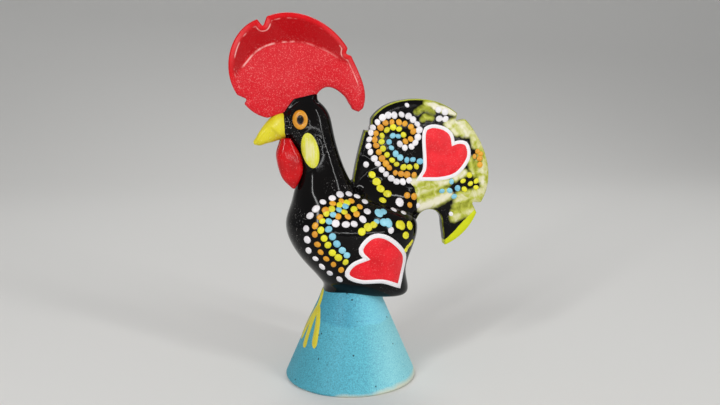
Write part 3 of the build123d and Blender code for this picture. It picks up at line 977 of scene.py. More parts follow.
@dataclass
class Body:
    """Body, neck and head as one glazed skin, with the seams and joints of the clay filled by the glaze."""

    voxel: float = 0.45
    crease: float = 60.0
    fairing_rounds: int = 14
    fairing_levels: Span = (0.6, 4.0)
    fillet_rounds: int = 2600
    fillet_step: Span = (0.0, 0.1)
    saddle_run: Span = (1.0, 9.0)
    saddle_levels: Span = (57.0, 66.0)
    saddle_end: Span = (-2.0, 4.0)
    least_share: float = 0.01
    plug_radius: float = 9.0
    plug_height: float = 8.0
    plug_segments: int = 48
    comb_cuts: tuple[Plane, ...] = (
        ((-24.0, 0.0, 114.8), (-5.0, 0.0, 3.9)),
        ((-19.0, 0.0, 117.2), (-2.0, 0.0, 8.8)),
        ((-13.0, 0.0, 0.0), (1.0, 0.0, 0.0)),
    )
    beak_cuts: tuple[Plane, ...] = (((-26.9, 0.0, 105.0), (-1.0, 0.0, -0.06)),)
    pads: tuple[str, ...] = ("eye_left", "eye_right", "ear_lobe_left", "ear_lobe_right")
    pad_proud: float = 0.9
    pad_facing: float = 0.7
    swell: float = 0.3
    rear_corner: float = 2.0
    corner_run: Span = (8.0, 21.0)
    corner_levels: Span = (-4.0, 13.0)
    arch_mean: float = 0.6
    arch_front: float = 0.9
    arch_side: float = 2.1
    arch_height: float = 9.0
    tail_line: tuple[Point, Point] = ((4.0, 94.0), (30.0, 76.0))
    tail_reach: float = 25.0
    tail_front: Span = (-2.0, 3.0)
    tail_lift: float = 0.1
    lift_run: Span = (-7.0, -2.0)
    tail_sink: float = 0.7
    sink_run: Span = (0.0, 5.0)
    overlap: float = 8.0
    touches: tuple[Touch, ...] = (((-14.0, 38.5), (0.7, 0.0), 2.6), ((-12.6, 35.7), (-1.3, -0.3), 1.7))

    def stub(self, node: str, cuts: Sequence[Plane]) -> Piece:
        """Copies the root of a piece, a little swollen, which fills its slot in the body.

        Args:
            node: The CAD node.
            cuts: Planes as a point in mm and the direction that is cut away.

        Returns:
            The root.
        """
        piece = copy_of(node, f"{node}_root")
        for point, normal in cuts:
            cut_away(piece, point, normal)
        apply_modifier(piece, "DISPLACE", mid_level=0.0, strength=self.swell * MM)
        return piece

    def beyond_line(self, points: np.ndarray) -> np.ndarray:
        """Returns how far points lie up the tail from the line where the skin ends, in mm."""
        (x, z), (far_x, far_z) = self.tail_line
        normal = np.array([z - far_z, far_x - x])
        beyond = ((points[:, [0, 2]] - np.array([x, z])) @ normal) / np.linalg.norm(normal)
        return np.maximum(beyond, points[:, 0] - self.tail_reach)

    def tail_root(self, tail: Piece) -> Piece:
        """Copies the lower end of the finished tail, for the skin to run up onto.

        Args:
            tail: The finished tail.

        Returns:
            The lower end.
        """
        piece = duplicate(tail)
        (x, z), (far_x, far_z) = self.tail_line
        normal = Vector((z - far_z, 0, far_x - x)).normalized()
        cut_away(piece, Vector((x, 0, z)) + normal * self.overlap, normal)
        cut_away(piece, (self.tail_reach + self.overlap, 0, 0), (1, 0, 0))
        return piece

    def flush_pad(self, node: str) -> Piece:
        """Copies an eye or ear pad, sunk until it is flush with the head.

        Args:
            node: The CAD node.

        Returns:
            The sunk pad.
        """
        piece = copy_of(node, f"{node}_key")
        side = Side.LEFT if node.endswith("left") else Side.RIGHT
        faces = [face for face in piece.data.polygons if face.normal.y * side.value > self.pad_facing]
        outward = sum((face.normal * face.area for face in faces), Vector())
        piece.data.transform(Matrix.Translation(outward.normalized() * -self.pad_proud * MM))
        return piece

    def plug(self) -> Piece:
        """Makes the filling of the socket above the cone."""
        radius, depth = self.plug_radius * MM, self.plug_height * MM
        place = (0, 0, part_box("body_left")[0].z + depth / 2)
        deselect()
        bpy.ops.mesh.primitive_cylinder_add(
            vertices=self.plug_segments, radius=radius, depth=depth, location=place
        )
        piece = bpy.context.active_object
        bpy.ops.object.transform_apply(location=True)
        return piece

    def build(self, tail: Piece) -> Piece:
        """Fills the joints, draws one skin over the whole and fairs it.

        Args:
            tail: The finished tail.

        Returns:
            The body.
        """
        parts = [copy_of("body_left", "body_shell"), copy_of("body_right", "body_far")]
        parts += [self.plug(), self.tail_root(tail)]
        parts += [self.stub("comb", self.comb_cuts), self.stub("beak", self.beak_cuts)]
        raise_bridge(parts[-1])
        parts += [self.flush_pad(pad) for pad in self.pads]
        piece = join(parts, "body_shell")
        remesh(piece, self.voxel)
        self.keep_outside(piece)
        points = points_of(piece)
        low, high = points[:, 2].min() + np.array(self.fairing_levels)
        self.fair(piece, smooth_step(points[:, 2], low, high), self.fairing_rounds)
        points = points_of(piece)
        saddle = smooth_step(points[:, 0], *self.saddle_run) * smooth_step(points[:, 2], *self.saddle_levels)
        saddle *= 1.0 - smooth_step(self.beyond_line(points), *self.saddle_end)
        self.fillet(piece, saddle, self.fillet_rounds)
        self.fair(piece, saddle, self.fairing_rounds)
        self.sink_into_tail(piece)
        self.arch_belly(piece)
        shade_round(piece, self.crease)
        return settle(piece, BLACK, ["body_left", "body_right"])

    def keep_outside(self, piece: Piece) -> None:
        """Deletes any shell that lies inside the skin."""
        with editing(piece):
            bpy.ops.mesh.select_all(action="DESELECT")
        top = max(piece.data.vertices, key=lambda point: point.co.z)
        top.select = True
        make_active(piece)
        bpy.ops.object.mode_set(mode="EDIT")
        bpy.ops.mesh.select_linked()
        bpy.ops.mesh.select_all(action="INVERT")
        bpy.ops.mesh.delete(type="VERT")
        bpy.ops.object.mode_set(mode="OBJECT")

    def fair(self, piece: Piece, amount: np.ndarray, rounds: int) -> None:
        """Smooths the skin where it is wanted.

        Args:
            piece: The skin.
            amount: How much of the smoothing each point takes, from 0 to 1.
            rounds: How often the skin is smoothed.
        """
        group = piece.vertex_groups.new(name="fair")
        for index in np.nonzero(amount > self.least_share)[0]:
            group.add([int(index)], float(amount[index]), "REPLACE")
        soften(piece, rounds, group.name)
        piece.vertex_groups.clear()

    def fillet(self, piece: Piece, amount: np.ndarray, rounds: int) -> None:
        """Fills hollow places as glaze does, and leaves the rest as it is.

        Args:
            piece: The skin.
            amount: How much of the filling each point takes, from 0 to 1.
            rounds: How often the filling is drawn smooth.
        """
        before, normals = points_of(piece), normals_of(piece)
        self.fair(piece, amount, rounds)
        step = points_of(piece) - before
        outward = np.sum(step * normals, axis=1)
        set_points(piece, before + step * smooth_step(outward, *self.fillet_step)[:, None])

    def arch_belly(self, piece: Piece) -> None:
        """Draws the rear corner out, and arches the lower edge up at both sides of the cone."""
        points = points_of(piece)
        foot = points[:, 2].min()
        low = 1.0 - smooth_step(points[:, 2], *(foot + np.array(self.corner_levels)))
        points[:, 0] += self.rear_corner * low * smooth_step(points[:, 0], *self.corner_run)
        turn = np.arctan2(points[:, 1], -points[:, 0])
        rise = self.arch_mean + self.arch_front * np.cos(turn) + self.arch_side * np.sin(turn) ** 2
        near = 1.0 - smooth_step(points[:, 2], foot, foot + self.arch_height)
        points[:, 2] += np.maximum(rise, 0.0) * near
        nudge(points, self.touches)
        set_points(piece, points)

    def sink_into_tail(self, piece: Piece) -> None:
        """Lets the skin run out below the tail's faces."""
        points = points_of(piece)
        beyond = self.beyond_line(points)
        lift = self.tail_lift * smooth_step(beyond, *self.lift_run)
        lift -= self.tail_sink * smooth_step(beyond, *self.sink_run)
        points[:, 1] += np.sign(points[:, 1]) * lift * smooth_step(points[:, 0], *self.tail_front)
        set_points(piece, points)


@dataclass
class GlazedSlab:
    """A slab with a bevelled rim and a face that crowns towards its middle, as the comb and the tail have."""

    node: str
    name: str
    rim_half: float
    bevel: float
    bevel_rise: float
    crown: float
    crown_rise: float
    voxel: float = 0.36
    rounds: int = 3
    edge_share: float = 0.3
    face_start: float = 0.3
    crown_start: float = 0.6
    outer_only: bool = False
    outer_facing: float = -0.45
    crest: tuple[Point, ...] = ()
    crest_steps: int = 60
    crest_rise: float = 0.14
    crest_width: float = 0.7
    crest_start: Span = (0.0, 0.04)
    crest_fade: Span = (0.45, 0.85)
    crest_fade_share: float = 0.65
    crest_end: Span = (0.94, 1.0)
    # Heights over which the rim's line of wear and painted highlight comes in, in mm.
    rim_wear: Span = (120.0, 121.8)
    touches: tuple[Touch, ...] = ()

    def inside_crest(self, points: np.ndarray) -> tuple[np.ndarray, np.ndarray]:
        """Measures where points lie from the crest in the side view.

        Args:
            points: The points in mm.

        Returns:
            How far each lies below the crest, less than 0 above it, and its share of the crest's length.
        """
        line = smooth_path(self.crest, self.crest_steps)
        along = np.gradient(line, axis=0)
        along /= np.linalg.norm(along, axis=1)[:, None]
        flat = points[:, [0, 2]]
        nearest = np.argmin(np.linalg.norm(flat[:, None] - line[None], axis=2), axis=1)
        off = flat - line[nearest]
        return along[nearest, 1] * off[:, 0] - along[nearest, 0] * off[:, 1], nearest / (len(line) - 1)

    def crest_wear(self, share: np.ndarray) -> np.ndarray:
        """Returns how strongly the crest shows wear and a painted highlight at shares of its length, from 0
        to 1.
        """
        wear_and_highlight = smooth_step(share, *self.crest_start)
        wear_and_highlight *= 1.0 - self.crest_fade_share * smooth_step(share, *self.crest_fade)
        return wear_and_highlight * (1.0 - smooth_step(share, *self.crest_end))

    def distance(self, points: np.ndarray, rim: np.ndarray) -> np.ndarray:
        """Returns each point's distance in the side view from the nearest point of a rim."""
        tree = KDTree(len(rim))
        for index, (x, _, z) in enumerate(rim):
            tree.insert((x, z, 0.0), index)
        tree.balance()
        return np.array([tree.find((x, z, 0.0))[2] for x, _, z in points])

    def build(self) -> Piece:
        """Skins the CAD slab finely and crowns its faces.

        Returns:
            The slab. Its measure "inland" is each point's distance from the rim, or from its outer run.
            A slab with a crest also keeps the place below it as "inside", and where both ridges show wear and
            painted highlights.
        """
        piece = copy_of(self.node, self.name)
        remesh(piece, self.voxel)
        points = points_of(piece)
        nudge(points, self.touches)
        edge = np.abs(points[:, 1]) < self.edge_share * self.rim_half
        inland = self.distance(points, points[edge])
        outer = edge & (normals_of(piece)[:, 2] > self.outer_facing) if self.outer_only else edge
        rise = self.bevel_rise * np.clip(inland / self.bevel, 0, 1)
        rise += self.crown_rise * smooth_step(inland, self.bevel * self.crown_start, self.crown)
        if self.crest:
            inside, share = self.inside_crest(points)
            # The crest's measure places both its wear and its painted highlight.
            wear_and_highlight = self.crest_wear(share)
            set_measure(piece, "inside", inside)
            set_measure(piece, "crest_wear", wear_and_highlight)
            set_measure(piece, "rim_wear", smooth_step(points[:, 2], *self.rim_wear))
            rise += self.crest_rise * wear_and_highlight * np.exp(-((inside / self.crest_width) ** 2))
        face = inland > self.face_start
        points[face, 1] = np.sign(points[face, 1]) * (self.rim_half + rise[face])
        set_measure(piece, "inland", self.distance(points, points[outer]))
        set_points(piece, points)
        soften(piece, self.rounds)
        shade_round(piece)
        return piece


@dataclass
class Beak:
    """The horn of the beak, with a mouth line along its side."""

    voxel: float = 0.28
    rounds: int = 4
    mouth_pinch: float = 0.14
    mouth_step: Span = (0.0, 0.9)
    mouth: tuple[Point, ...] = ((-38.7, 99.0), (-33.6, 105.2), (-32.0, 105.4), (-27.8, 101.4))
    root: float = -25.4
    blunt_widen: float = 0.5
    blunt_run: Span = (34.0, 39.0)
    forward_run: Span = (-37.5, -29.5)
    touches: tuple[Touch, ...] = (
        ((-36.4, 98.7), (0.0, -1.0), 2.2),
        ((-32.5, 99.4), (0.0, -0.5), 2.4),
        ((-38.9, 99.4), (-0.35, 0.1), 1.2),
    )

    def build(self) -> Piece:
        """Skins the CAD horn, pinches it below the mouth line and blunts its tip.

        Returns:
            The beak.
        """
        piece = copy_of("beak", "beak_horn")
        cut_away(piece, (self.root, 0, 0), (1, 0, 0))
        remesh(piece, self.voxel)
        points = points_of(piece)
        xs, zs = zip(*self.mouth)
        below = np.interp(points[:, 0], xs, zs) - points[:, 2]
        points[:, 1] *= 1.0 - self.mouth_pinch * smooth_step(below, *self.mouth_step)
        forward = 1.0 - smooth_step(points[:, 0], *self.forward_run)
        points[:, 1] *= 1.0 + self.blunt_widen * forward * smooth_step(-points[:, 0], *self.blunt_run)
        nudge(points, self.touches)
        set_points(piece, points)
        raise_bridge(piece)
        soften(piece, self.rounds)
        shade_round(piece)
        return settle(piece, YELLOW, ["beak"])


@dataclass
class Wattles:
    """The two drops of clay below the beak, pressed to the neck."""

    voxel: float = 0.3
    top: float = 101.0
    waist: float = 89.0
    tip: float = 80.4
    deepen: float = 1.05
    widen: float = 1.18
    hang: float = 1.1
    taper: float = 0.3
    taper_above: float = 4.0
    root: float = -26.8
    rounds: int = 14

    def build(self) -> list[Piece]:
        """Skins, draws out and softens both drops.

        Returns:
            The two wattles.
        """
        made = []
        for side in Side:
            node = f"wattle_{side.name.lower()}"
            piece = copy_of(node, f"{node}_drop")
            remesh(piece, self.voxel)
            points = points_of(piece)
            low, high = points.min(axis=0), points.max(axis=0)
            points[:, 0] = low[0] + (points[:, 0] - low[0]) * self.deepen
            points[:, 1] *= self.widen
            levels = (low[2], self.waist, high[2]), (self.tip, self.waist, self.top)
            points[:, 2] = np.interp(points[:, 2], *levels)
            points[:, 0] -= self.hang * (1.0 - smooth_step(points[:, 2], self.tip, self.waist))
            taper = 1.0 - self.taper * smooth_step(points[:, 2], self.waist + self.taper_above, self.top)
            points[:, 0] = self.root + (points[:, 0] - self.root) * taper
            set_points(piece, points)
            soften(piece, self.rounds)
            shade_round(piece)
            made.append(settle(piece, RED, [node]))
        return made


# Paint


@dataclass
class Ground:
    """The glazed surfaces that paint is laid on."""

    pieces: list[Piece]
    start: float = 0.1

    def land(self, x: float, z: float, side: Side) -> Optional[tuple[Vector, Vector]]:
        """Finds the outermost surface at a place in the side view.

        Args:
            x: Place along the bird, in mm.
            z: Height, in mm.
            side: The side that is painted.

        Returns:
            The point in metres and the surface's normal, or None off the edge.
        """
        start = Vector((x * MM, side.value * self.start, z * MM))
        best = None
        for piece in self.pieces:
            hit, point, normal, _ = piece.ray_cast(start, Vector((0, -side.value, 0)))
            if hit and (best is None or abs(point.y) > abs(best[0].y)):
                best = (point.copy(), normal.copy())
        return best


def stand_on(point: Vector, normal: Vector, lean: float) -> Matrix:
    """Turns a lying shape to stand on a surface.

    Args:
        point: Where it stands.
        normal: The surface's normal.
        lean: Its turn about the normal, in radians.

    Returns:
        The placing matrix: Z along the normal, Y upwards along the surface.
    """
    up = (Vector((0, 0, 1)) - normal * normal.z).normalized()
    turn = Matrix((up.cross(normal), up, normal)).transposed().to_4x4()
    return Matrix.Translation(point) @ turn @ Matrix.Rotation(lean, 4, "Z")


def drop_shape(name: str, segments: int, rings: int, sink: float) -> Piece:
    """Models a drop of paint of radius 1 that lies on its flat side.

    Args:
        name: The name of the piece.
        segments: Points round it.
        rings: Rings of the whole ball that it is cut from.
        sink: How far below its widest level it is cut.

    Returns:
        The drop.
    """
    deselect()
    bpy.ops.mesh.primitive_uv_sphere_add(segments=segments, ring_count=rings, radius=1.0)
    piece = bpy.context.active_object
    piece.name = piece.data.name = name
    with editing(piece):
        bpy.ops.mesh.bisect(plane_co=(0, 0, -sink), plane_no=(0, 0, -1), clear_outer=True, use_fill=True)
    shade_round(piece)
    return piece


@dataclass(frozen=True)
class DotRow:
    """Dots of one paint and size: evenly along a guide in the side view, or loose without a count."""

    paint: Paint
    size: float
    guide: tuple[Point, ...]
    count: int = 0

    def places(self) -> Sequence[Sequence[float]]:
        """Returns where the dots are set down, in mm."""
        return smooth_path(self.guide, self.count) if self.count else self.guide


@dataclass
class DotWork:
    """Dots of one area: rows that curl into a swirl, and loose dots round them."""

    area: str
    rows: tuple[DotRow, ...]
    fullness: float
    proud: float = 0.36
    wander: float = 0.3
    unevenness: float = 0.11
    squash: float = 0.22
    segments: int = 12
    rings: int = 6
    sink: float = 0.3

    def spots(self, paint: Paint, chance: random.Random) -> list[tuple[float, float, float]]:
        """Lists the places and sizes of the dots of one paint.

        Args:
            paint: The paint.
            chance: Where the hand's unevenness comes from.

        Returns:
            Place along the bird, height and size of each dot, in mm.
        """
        found = []
        for row in self.rows:
            if row.paint is not paint:
                continue
            for x, z in row.places():
                along = chance.uniform(-self.wander, self.wander)
                upward = chance.uniform(-self.wander, self.wander)
                share = self.fullness * chance.uniform(1.0 - self.unevenness, 1.0 + self.unevenness)
                found.append((x + along, z + upward, row.size * share))
        return found

    def build(self, ground: Ground) -> list[Piece]:
        """Sets the dots down on both sides of the bird.

        Args:
            ground: What they are painted on.

        Returns:
            One piece for each paint.
        """
        chance = random.Random(self.area)
        made = []
        for paint in Paint:
            template = drop_shape("dot", self.segments, self.rings, self.sink)
            copies = []
            for x, z, size in self.spots(paint, chance):
                stretch = chance.uniform(1.0 - self.squash, 1.0)
                spin, tone = chance.uniform(0, math.pi), chance.random()
                for side in Side:
                    landing = ground.land(x, z, side)
                    if landing is None:
                        continue
                    copy = duplicate(template)
                    scale = Matrix.Diagonal((size / 2 * MM, size / 2 * stretch * MM, self.proud * MM, 1))
                    copy.data.transform(stand_on(*landing, spin) @ scale)
                    set_measure(copy, "tone", np.full(len(copy.data.vertices), tone))
                    copies.append(copy)
            bpy.data.objects.remove(template)
            if copies:
                piece = join(copies, f"{self.area}_dots_{paint.name.lower()}")
                made.append(settle(piece, DOTS[paint]))
        return made


def lay_film(
    name: str,
    columns: int,
    rows: int,
    place: Callable[[float, float], Sequence[float]],
    body: Callable[[float, float], float],
    thickness: float,
    onto: Optional[Piece] = None,
    side: Side = Side.LEFT,
) -> Piece:
    """Lays a film of paint from a grid that is drawn into shape.

    Args:
        name: The name of the film.
        columns: Faces along the film.
        rows: Faces across it.
        place: The point in mm for a share along and a share across.
        body: How full the film is there, from 0 to 1.
        thickness: The full film's thickness in mm.
        onto: The piece that it is pressed onto along Y, or None where place is already on the surface.
        side: The side that it faces.

    Returns:
        The film, which keeps the share across as its measure "inward".
    """
    deselect()
    bpy.ops.mesh.primitive_grid_add(x_subdivisions=columns, y_subdivisions=rows, size=1.0)
    piece = bpy.context.active_object
    piece.name = piece.data.name = name
    group = piece.vertex_groups.new(name="film")
    shares = [(point.co.x + 0.5, point.co.y + 0.5) for point in piece.data.vertices]
    for index, (u, v) in enumerate(shares):
        group.add([index], body(u, v), "REPLACE")
    set_points(piece, np.array([place(u, v) for u, v in shares]))
    set_measure(piece, "inward", np.array([v for _, v in shares]))
    with editing(piece):
        bpy.ops.mesh.remove_doubles(threshold=FILM_MERGE * MM)
    if onto is not None:
        forward = side is Side.LEFT
        apply_modifier(
            piece, "SHRINKWRAP", wrap_method="PROJECT", target=onto, use_project_y=True,
            use_positive_direction=forward, use_negative_direction=not forward,
        )
    facing = sum((f.normal.y * f.area for f in piece.data.polygons))
    if facing * side.value < 0:
        with editing(piece):
            bpy.ops.mesh.flip_normals()
    apply_modifier(
        piece, "SOLIDIFY", thickness=thickness * MM, offset=FILM_OFFSET, vertex_group="film",
        thickness_vertex_group=FILM_THINNEST, use_even_offset=False,
    )
    piece.vertex_groups.clear()
    shade_round(piece, FILM_CREASE)
    return piece


@dataclass
class Heart:
    """A painted red heart with a white border, drawn from its notch to its tip on either side."""

    area: str
    first: tuple[Point, ...]
    second: tuple[Point, ...]
    middle: Point
    border: float
    border_overlap: float = 0.3
    border_extra: float = 0.14
    border_rows: int = 4
    border_tone: float = 0.3
    fill_rows: int = 8
    per_half: int = 30
    film: float = 0.32
    sharpest_mitre: float = 0.45
    stand_off: float = 60.0

    def outward(self, line: np.ndarray) -> np.ndarray:
        """Returns the steps from the outline to a line 1 mm outside it, mitred at the tip and notch."""
        along = np.roll(line, -1, axis=0) - line
        side = np.column_stack([along[:, 1], -along[:, 0]]) / np.linalg.norm(along, axis=1)[:, None]
        half = side + np.roll(side, 1, axis=0)
        half /= np.linalg.norm(half, axis=1)[:, None]
        half /= np.clip(np.sum(half * side, axis=1), self.sharpest_mitre, 1.0)[:, None]
        return half * np.sign(np.sum(half * (line - np.array(self.middle))))

    def outline(self) -> np.ndarray:
        """Returns the closed outline, one row for each point."""
        there = smooth_path(self.first, self.per_half + 1)
        back = smooth_path(self.second, self.per_half + 1)
        return np.vstack([there[:-1], back])

    def build(self, onto: Piece) -> list[Piece]:
        """Paints the heart and its border on both sides.

        Args:
            onto: What they are painted on.

        Returns:
            The red pieces as one and the borders as one.
        """
        line = self.outline()
        count = len(line) - 1
        middle = np.array(self.middle)
        out = self.outward(line[:-1])
        fills, borders = [], []
        for side in Side:
            far = side.value * self.stand_off

            def inside(u: float, v: float) -> Sequence[float]:
                """Runs from the outline to the middle."""
                x, z = line[round(u * count)] * (1 - v) + middle * v
                return x, far, z

            def beside(u: float, v: float) -> Sequence[float]:
                """Runs from just inside the outline to the border's outer edge."""
                index = round(u * count) % count
                step = v * (self.border + self.border_overlap) - self.border_overlap
                x, z = line[index] + out[index] * step
                return x, far, z

            def flat(u: float, v: float) -> float:
                """Is full but for the row along the outline."""
                return min(1.0, v * self.fill_rows)

            def round_over(u: float, v: float) -> float:
                """Is full along the middle of the border."""
                return math.sin(math.pi * v) ** 0.5

            raised = self.film + self.border_extra
            fills.append(lay_film("heart", count, self.fill_rows, inside, flat, self.film, onto, side))
            borders.append(
                lay_film("border", count, self.border_rows, beside, round_over, raised, onto, side)
            )
        red = settle(join(fills, f"{self.area}_heart_red"), HEART_RED)
        white = join(borders, f"{self.area}_heart_border")
        set_measure(white, "tone", np.full(len(white.data.vertices), self.border_tone))
        return [red, settle(white, DOTS[Paint.WHITE])]


@dataclass(frozen=True)
class StrokeFan:
    """Pulls of the brush side by side: the first and the last, and the cream on each, from 0 to 1."""

    first: tuple[Point, ...]
    last: tuple[Point, ...]
    width: float
    creams: tuple[float, ...]

    def pulls(self) -> Iterator[tuple[np.ndarray, float]]:
        """Yields the guide and the cream of each pull."""
        for share, cream in zip(np.linspace(0.0, 1.0, len(self.creams)), self.creams):
            yield (1.0 - share) * np.array(self.first) + share * np.array(self.last), cream


@dataclass
class BrushWork:
    """The loose strokes on the tail, brushed over each other while wet, and the yellow run along its edge."""

    fans: tuple[StrokeFan, ...]
    steps: int = 24
    ground_tone: float = 0.5
    stroke_fade: Span = (0.25, 1.75)
    wet_ridge: float = 0.25
    ridge_place: float = 0.45
    relief: float = 0.12
    relief_fade: Span = (0.3, 1.0)
    feather_edge: tuple[Point, ...] = ((40.0, 54.8), (43.6, 56.6), (47.2, 59.2), (50.8, 63.6), (53.7, 68.4))
    feather_width: float = 2.0
    feather_swell: float = 1.9
    feather_fade: Span = (0.85, 1.1)
    back_run: Span = (44.0, 48.0)
    back_levels: Span = (70.0, 73.0)
    rim_band: float = 2.3
    rim_band_fade: Span = (0.7, 1.2)
    rim_cream: float = 0.55
    rim_line: float = 0.5
    rim_line_fade: Span = (0.7, 1.3)
    rim_face: Span = (1.4, 2.0)
    rim_top: Span = (106.0, 114.0)
    rim_strength: float = 0.45
    rim_top_strength: float = 0.3

    def distance(
        self, points: np.ndarray, guide: Sequence[Point], reach: float | np.ndarray
    ) -> np.ndarray:
        """Returns how far points lie from a guide in the side view, as a share of its reach in mm."""
        line = smooth_path(guide, self.steps)
        return np.min(np.linalg.norm(points[:, None, [0, 2]] - line[None], axis=2) / reach, axis=1)

    def paint(self, tail: Piece) -> None:
        """Lays the strokes one over another, and keeps them as the tail's measures.

        Args:
            tail: The finished slab, which gets a little relief where paint lies.
        """
        points = points_of(tail)
        wash, tone = np.zeros(len(points)), np.full(len(points), self.ground_tone)
        for fan in self.fans:
            for guide, cream in fan.pulls():
                away = self.distance(points, guide, fan.width / 2)
                laid = 1.0 - smooth_step(away, *self.stroke_fade)
                tone += (cream + self.wet_ridge * (self.ridge_place - np.clip(away, 0, 1)) - tone) * laid
                wash = np.maximum(wash, laid)
        inland = np.zeros(len(points), np.float32)
        tail.data.attributes["inland"].data.foreach_get("value", inland)
        leaf = self.feather_width + self.feather_swell * np.sin(np.linspace(0.0, math.pi, self.steps))
        edge = self.distance(points, self.feather_edge, leaf)
        back = smooth_step(points[:, 0], *self.back_run) * smooth_step(points[:, 2], *self.back_levels)
        run = back * (1.0 - smooth_step(inland, *(self.rim_band * share for share in self.rim_band_fade)))
        tone += (self.rim_cream - tone) * run
        line = 1.0 - smooth_step(inland, *(self.rim_line * share for share in self.rim_line_fade))
        line *= smooth_step(np.abs(points[:, 1]), *self.rim_face) * (1.0 - back)
        strength = self.rim_strength + self.rim_top_strength * smooth_step(points[:, 2], *self.rim_top)
        set_measure(tail, "wash", np.maximum(wash, run))
        set_measure(tail, "tone", tone)
        set_measure(tail, "rim", line * strength)
        set_measure(tail, "feather", 1.0 - smooth_step(edge, *self.feather_fade))
        points[:, 1] += np.sign(points[:, 1]) * self.relief * wash * smooth_step(inland, *self.relief_fade)
        set_points(tail, points)


@dataclass
class Feet:
    """The two painted feet on the front of the cone: a leg and three toes each.

    Their lines are angles from the middle between the feet, in degrees, and heights in mm.
    """

    cone: ConeBase
    lines: tuple[tuple[Point, ...], ...] = (
        ((9.5, 37.5), (17.0, 34.0), (21.5, 29.0)),
        ((19.0, 31.0), (12.5, 26.0), (9.0, 21.0), (7.5, 16.0)),
        ((20.5, 30.5), (20.5, 26.0), (22.5, 21.5), (26.5, 14.5)),
        ((20.0, 31.5), (28.0, 29.5), (38.0, 24.5), (44.5, 16.0)),
    )
    width: float = 3.2
    turn: float = -8.0
    film: float = 0.4
    columns: int = 30
    rows: int = 4
    cap_columns: float = 2.8
    cap_least: float = 0.06
    edge_fall: float = 0.6
    end_fall: float = 0.3

    def fullness(self, u: float, v: float) -> float:
        """Returns how full a line is at a share along it and a share across it."""
        across, along = max(0.0, math.sin(math.pi * v)), max(0.0, math.sin(math.pi * u))
        return across**self.edge_fall * along**self.end_fall

    def build(self) -> Piece:
        """Paints both feet.

        Returns:
            The feet as one piece.
        """
        made = []
        for line in self.lines:
            path = smooth_path(line, self.columns + 1)
            for side in Side:

                def pull(u: float, v: float) -> Sequence[float]:
                    """Runs down the cone, rounded at both ends."""
                    angle, height = path[round(u * self.columns)]
                    radius = self.cone.radius_at(height)
                    cap = max(0.0, 1.0 - min(u, 1.0 - u) * self.columns / self.cap_columns)
                    half = self.width * math.sqrt(max(self.cap_least, 1.0 - cap**2))
                    turned = math.radians(angle) + (v - 0.5) * half / radius
                    across = side.value * turned - math.radians(self.turn)
                    spot = (-radius * math.cos(across), radius * math.sin(across), height)
                    return self.cone.pressed(np.array([spot]))[0]

                made.append(
                    lay_film("toe", self.columns, self.rows, pull, self.fullness, self.film, None, side)
                )
        return settle(join(made, "cone_feet_paint"), FOOT_YELLOW)


@dataclass
class Face:
    """Eyes and ear lobes, as crowned ovals on the head."""

    eye: Point = (-20.8, 108.4)
    eye_size: Point = (5.8, 7.5)
    eye_rise: float = 0.9
    iris_size: Point = (2.8, 3.8)
    iris_rise: float = 0.2
    pupil_size: Point = (2.0, 2.9)
    pupil_rise: float = 0.7
    ear: Point = (-17.0, 96.3)
    ear_size: Point = (6.6, 14.2)
    ear_rise: float = 0.95
    ear_lean: float = 11.0
    columns: int = 44
    rows: int = 10
    stand_off: float = 60.0

    def oval(
        self,
        name: str,
        onto: Piece,
        middle: Point,
        size: Point,
        thickness: float,
        side: Side,
        lean: float = 0.0,
    ) -> Piece:
        """Lays an oval with a crowned face.

        Args:
            name: The name of the oval.
            onto: What it lies on.
            middle: Its middle in the side view.
            size: Its width and height in mm.
            thickness: Its thickness in the middle.
            side: The side of the head.
            lean: How far its top leans forward, in degrees.

        Returns:
            The oval.
        """
        turn = math.radians(lean)

        def place(u: float, v: float) -> Sequence[float]:
            """Runs round the oval, and from its edge to its middle."""
            across = math.cos(2 * math.pi * u) * size[0] / 2 * (1 - v)
            upward = math.sin(2 * math.pi * u) * size[1] / 2 * (1 - v)
            x = middle[0] + across * math.cos(turn) - upward * math.sin(turn)
            z = middle[1] + across * math.sin(turn) + upward * math.cos(turn)
            return x, side.value * self.stand_off, z

        def crown(u: float, v: float) -> float:
            """Rises from the edge to the middle."""
            return math.sqrt(max(0.0, 1.0 - (1.0 - v) ** 2))

        return lay_film(name, self.columns, self.rows, place, crown, thickness, onto, side)

    def build(self, head: Piece) -> list[Piece]:
        """Sets both eyes and both ear lobes on the head.

        Args:
            head: The body's skin.

        Returns:
            The ovals.
        """
        made = []
        for side in Side:
            word = side.name.lower()
            eye = self.oval(f"eye_{word}_pad", head, self.eye, self.eye_size, self.eye_rise, side)
            iris = self.oval(f"iris_{word}_ring", eye, self.eye, self.iris_size, self.iris_rise, side)
            pupil = self.oval(f"pupil_{word}_bead", iris, self.eye, self.pupil_size, self.pupil_rise, side)
            ear = self.oval(
                f"ear_lobe_{word}_pad", head, self.ear, self.ear_size, self.ear_rise, side, self.ear_lean
            )
            made.append(settle(eye, ORANGE, [f"eye_{word}"]))
            made.append(settle(iris, BROWN))
            made.append(settle(pupil, PUPIL, [f"pupil_{word}"]))
            made.append(settle(ear, EAR, [f"ear_lobe_{word}"]))
        return made


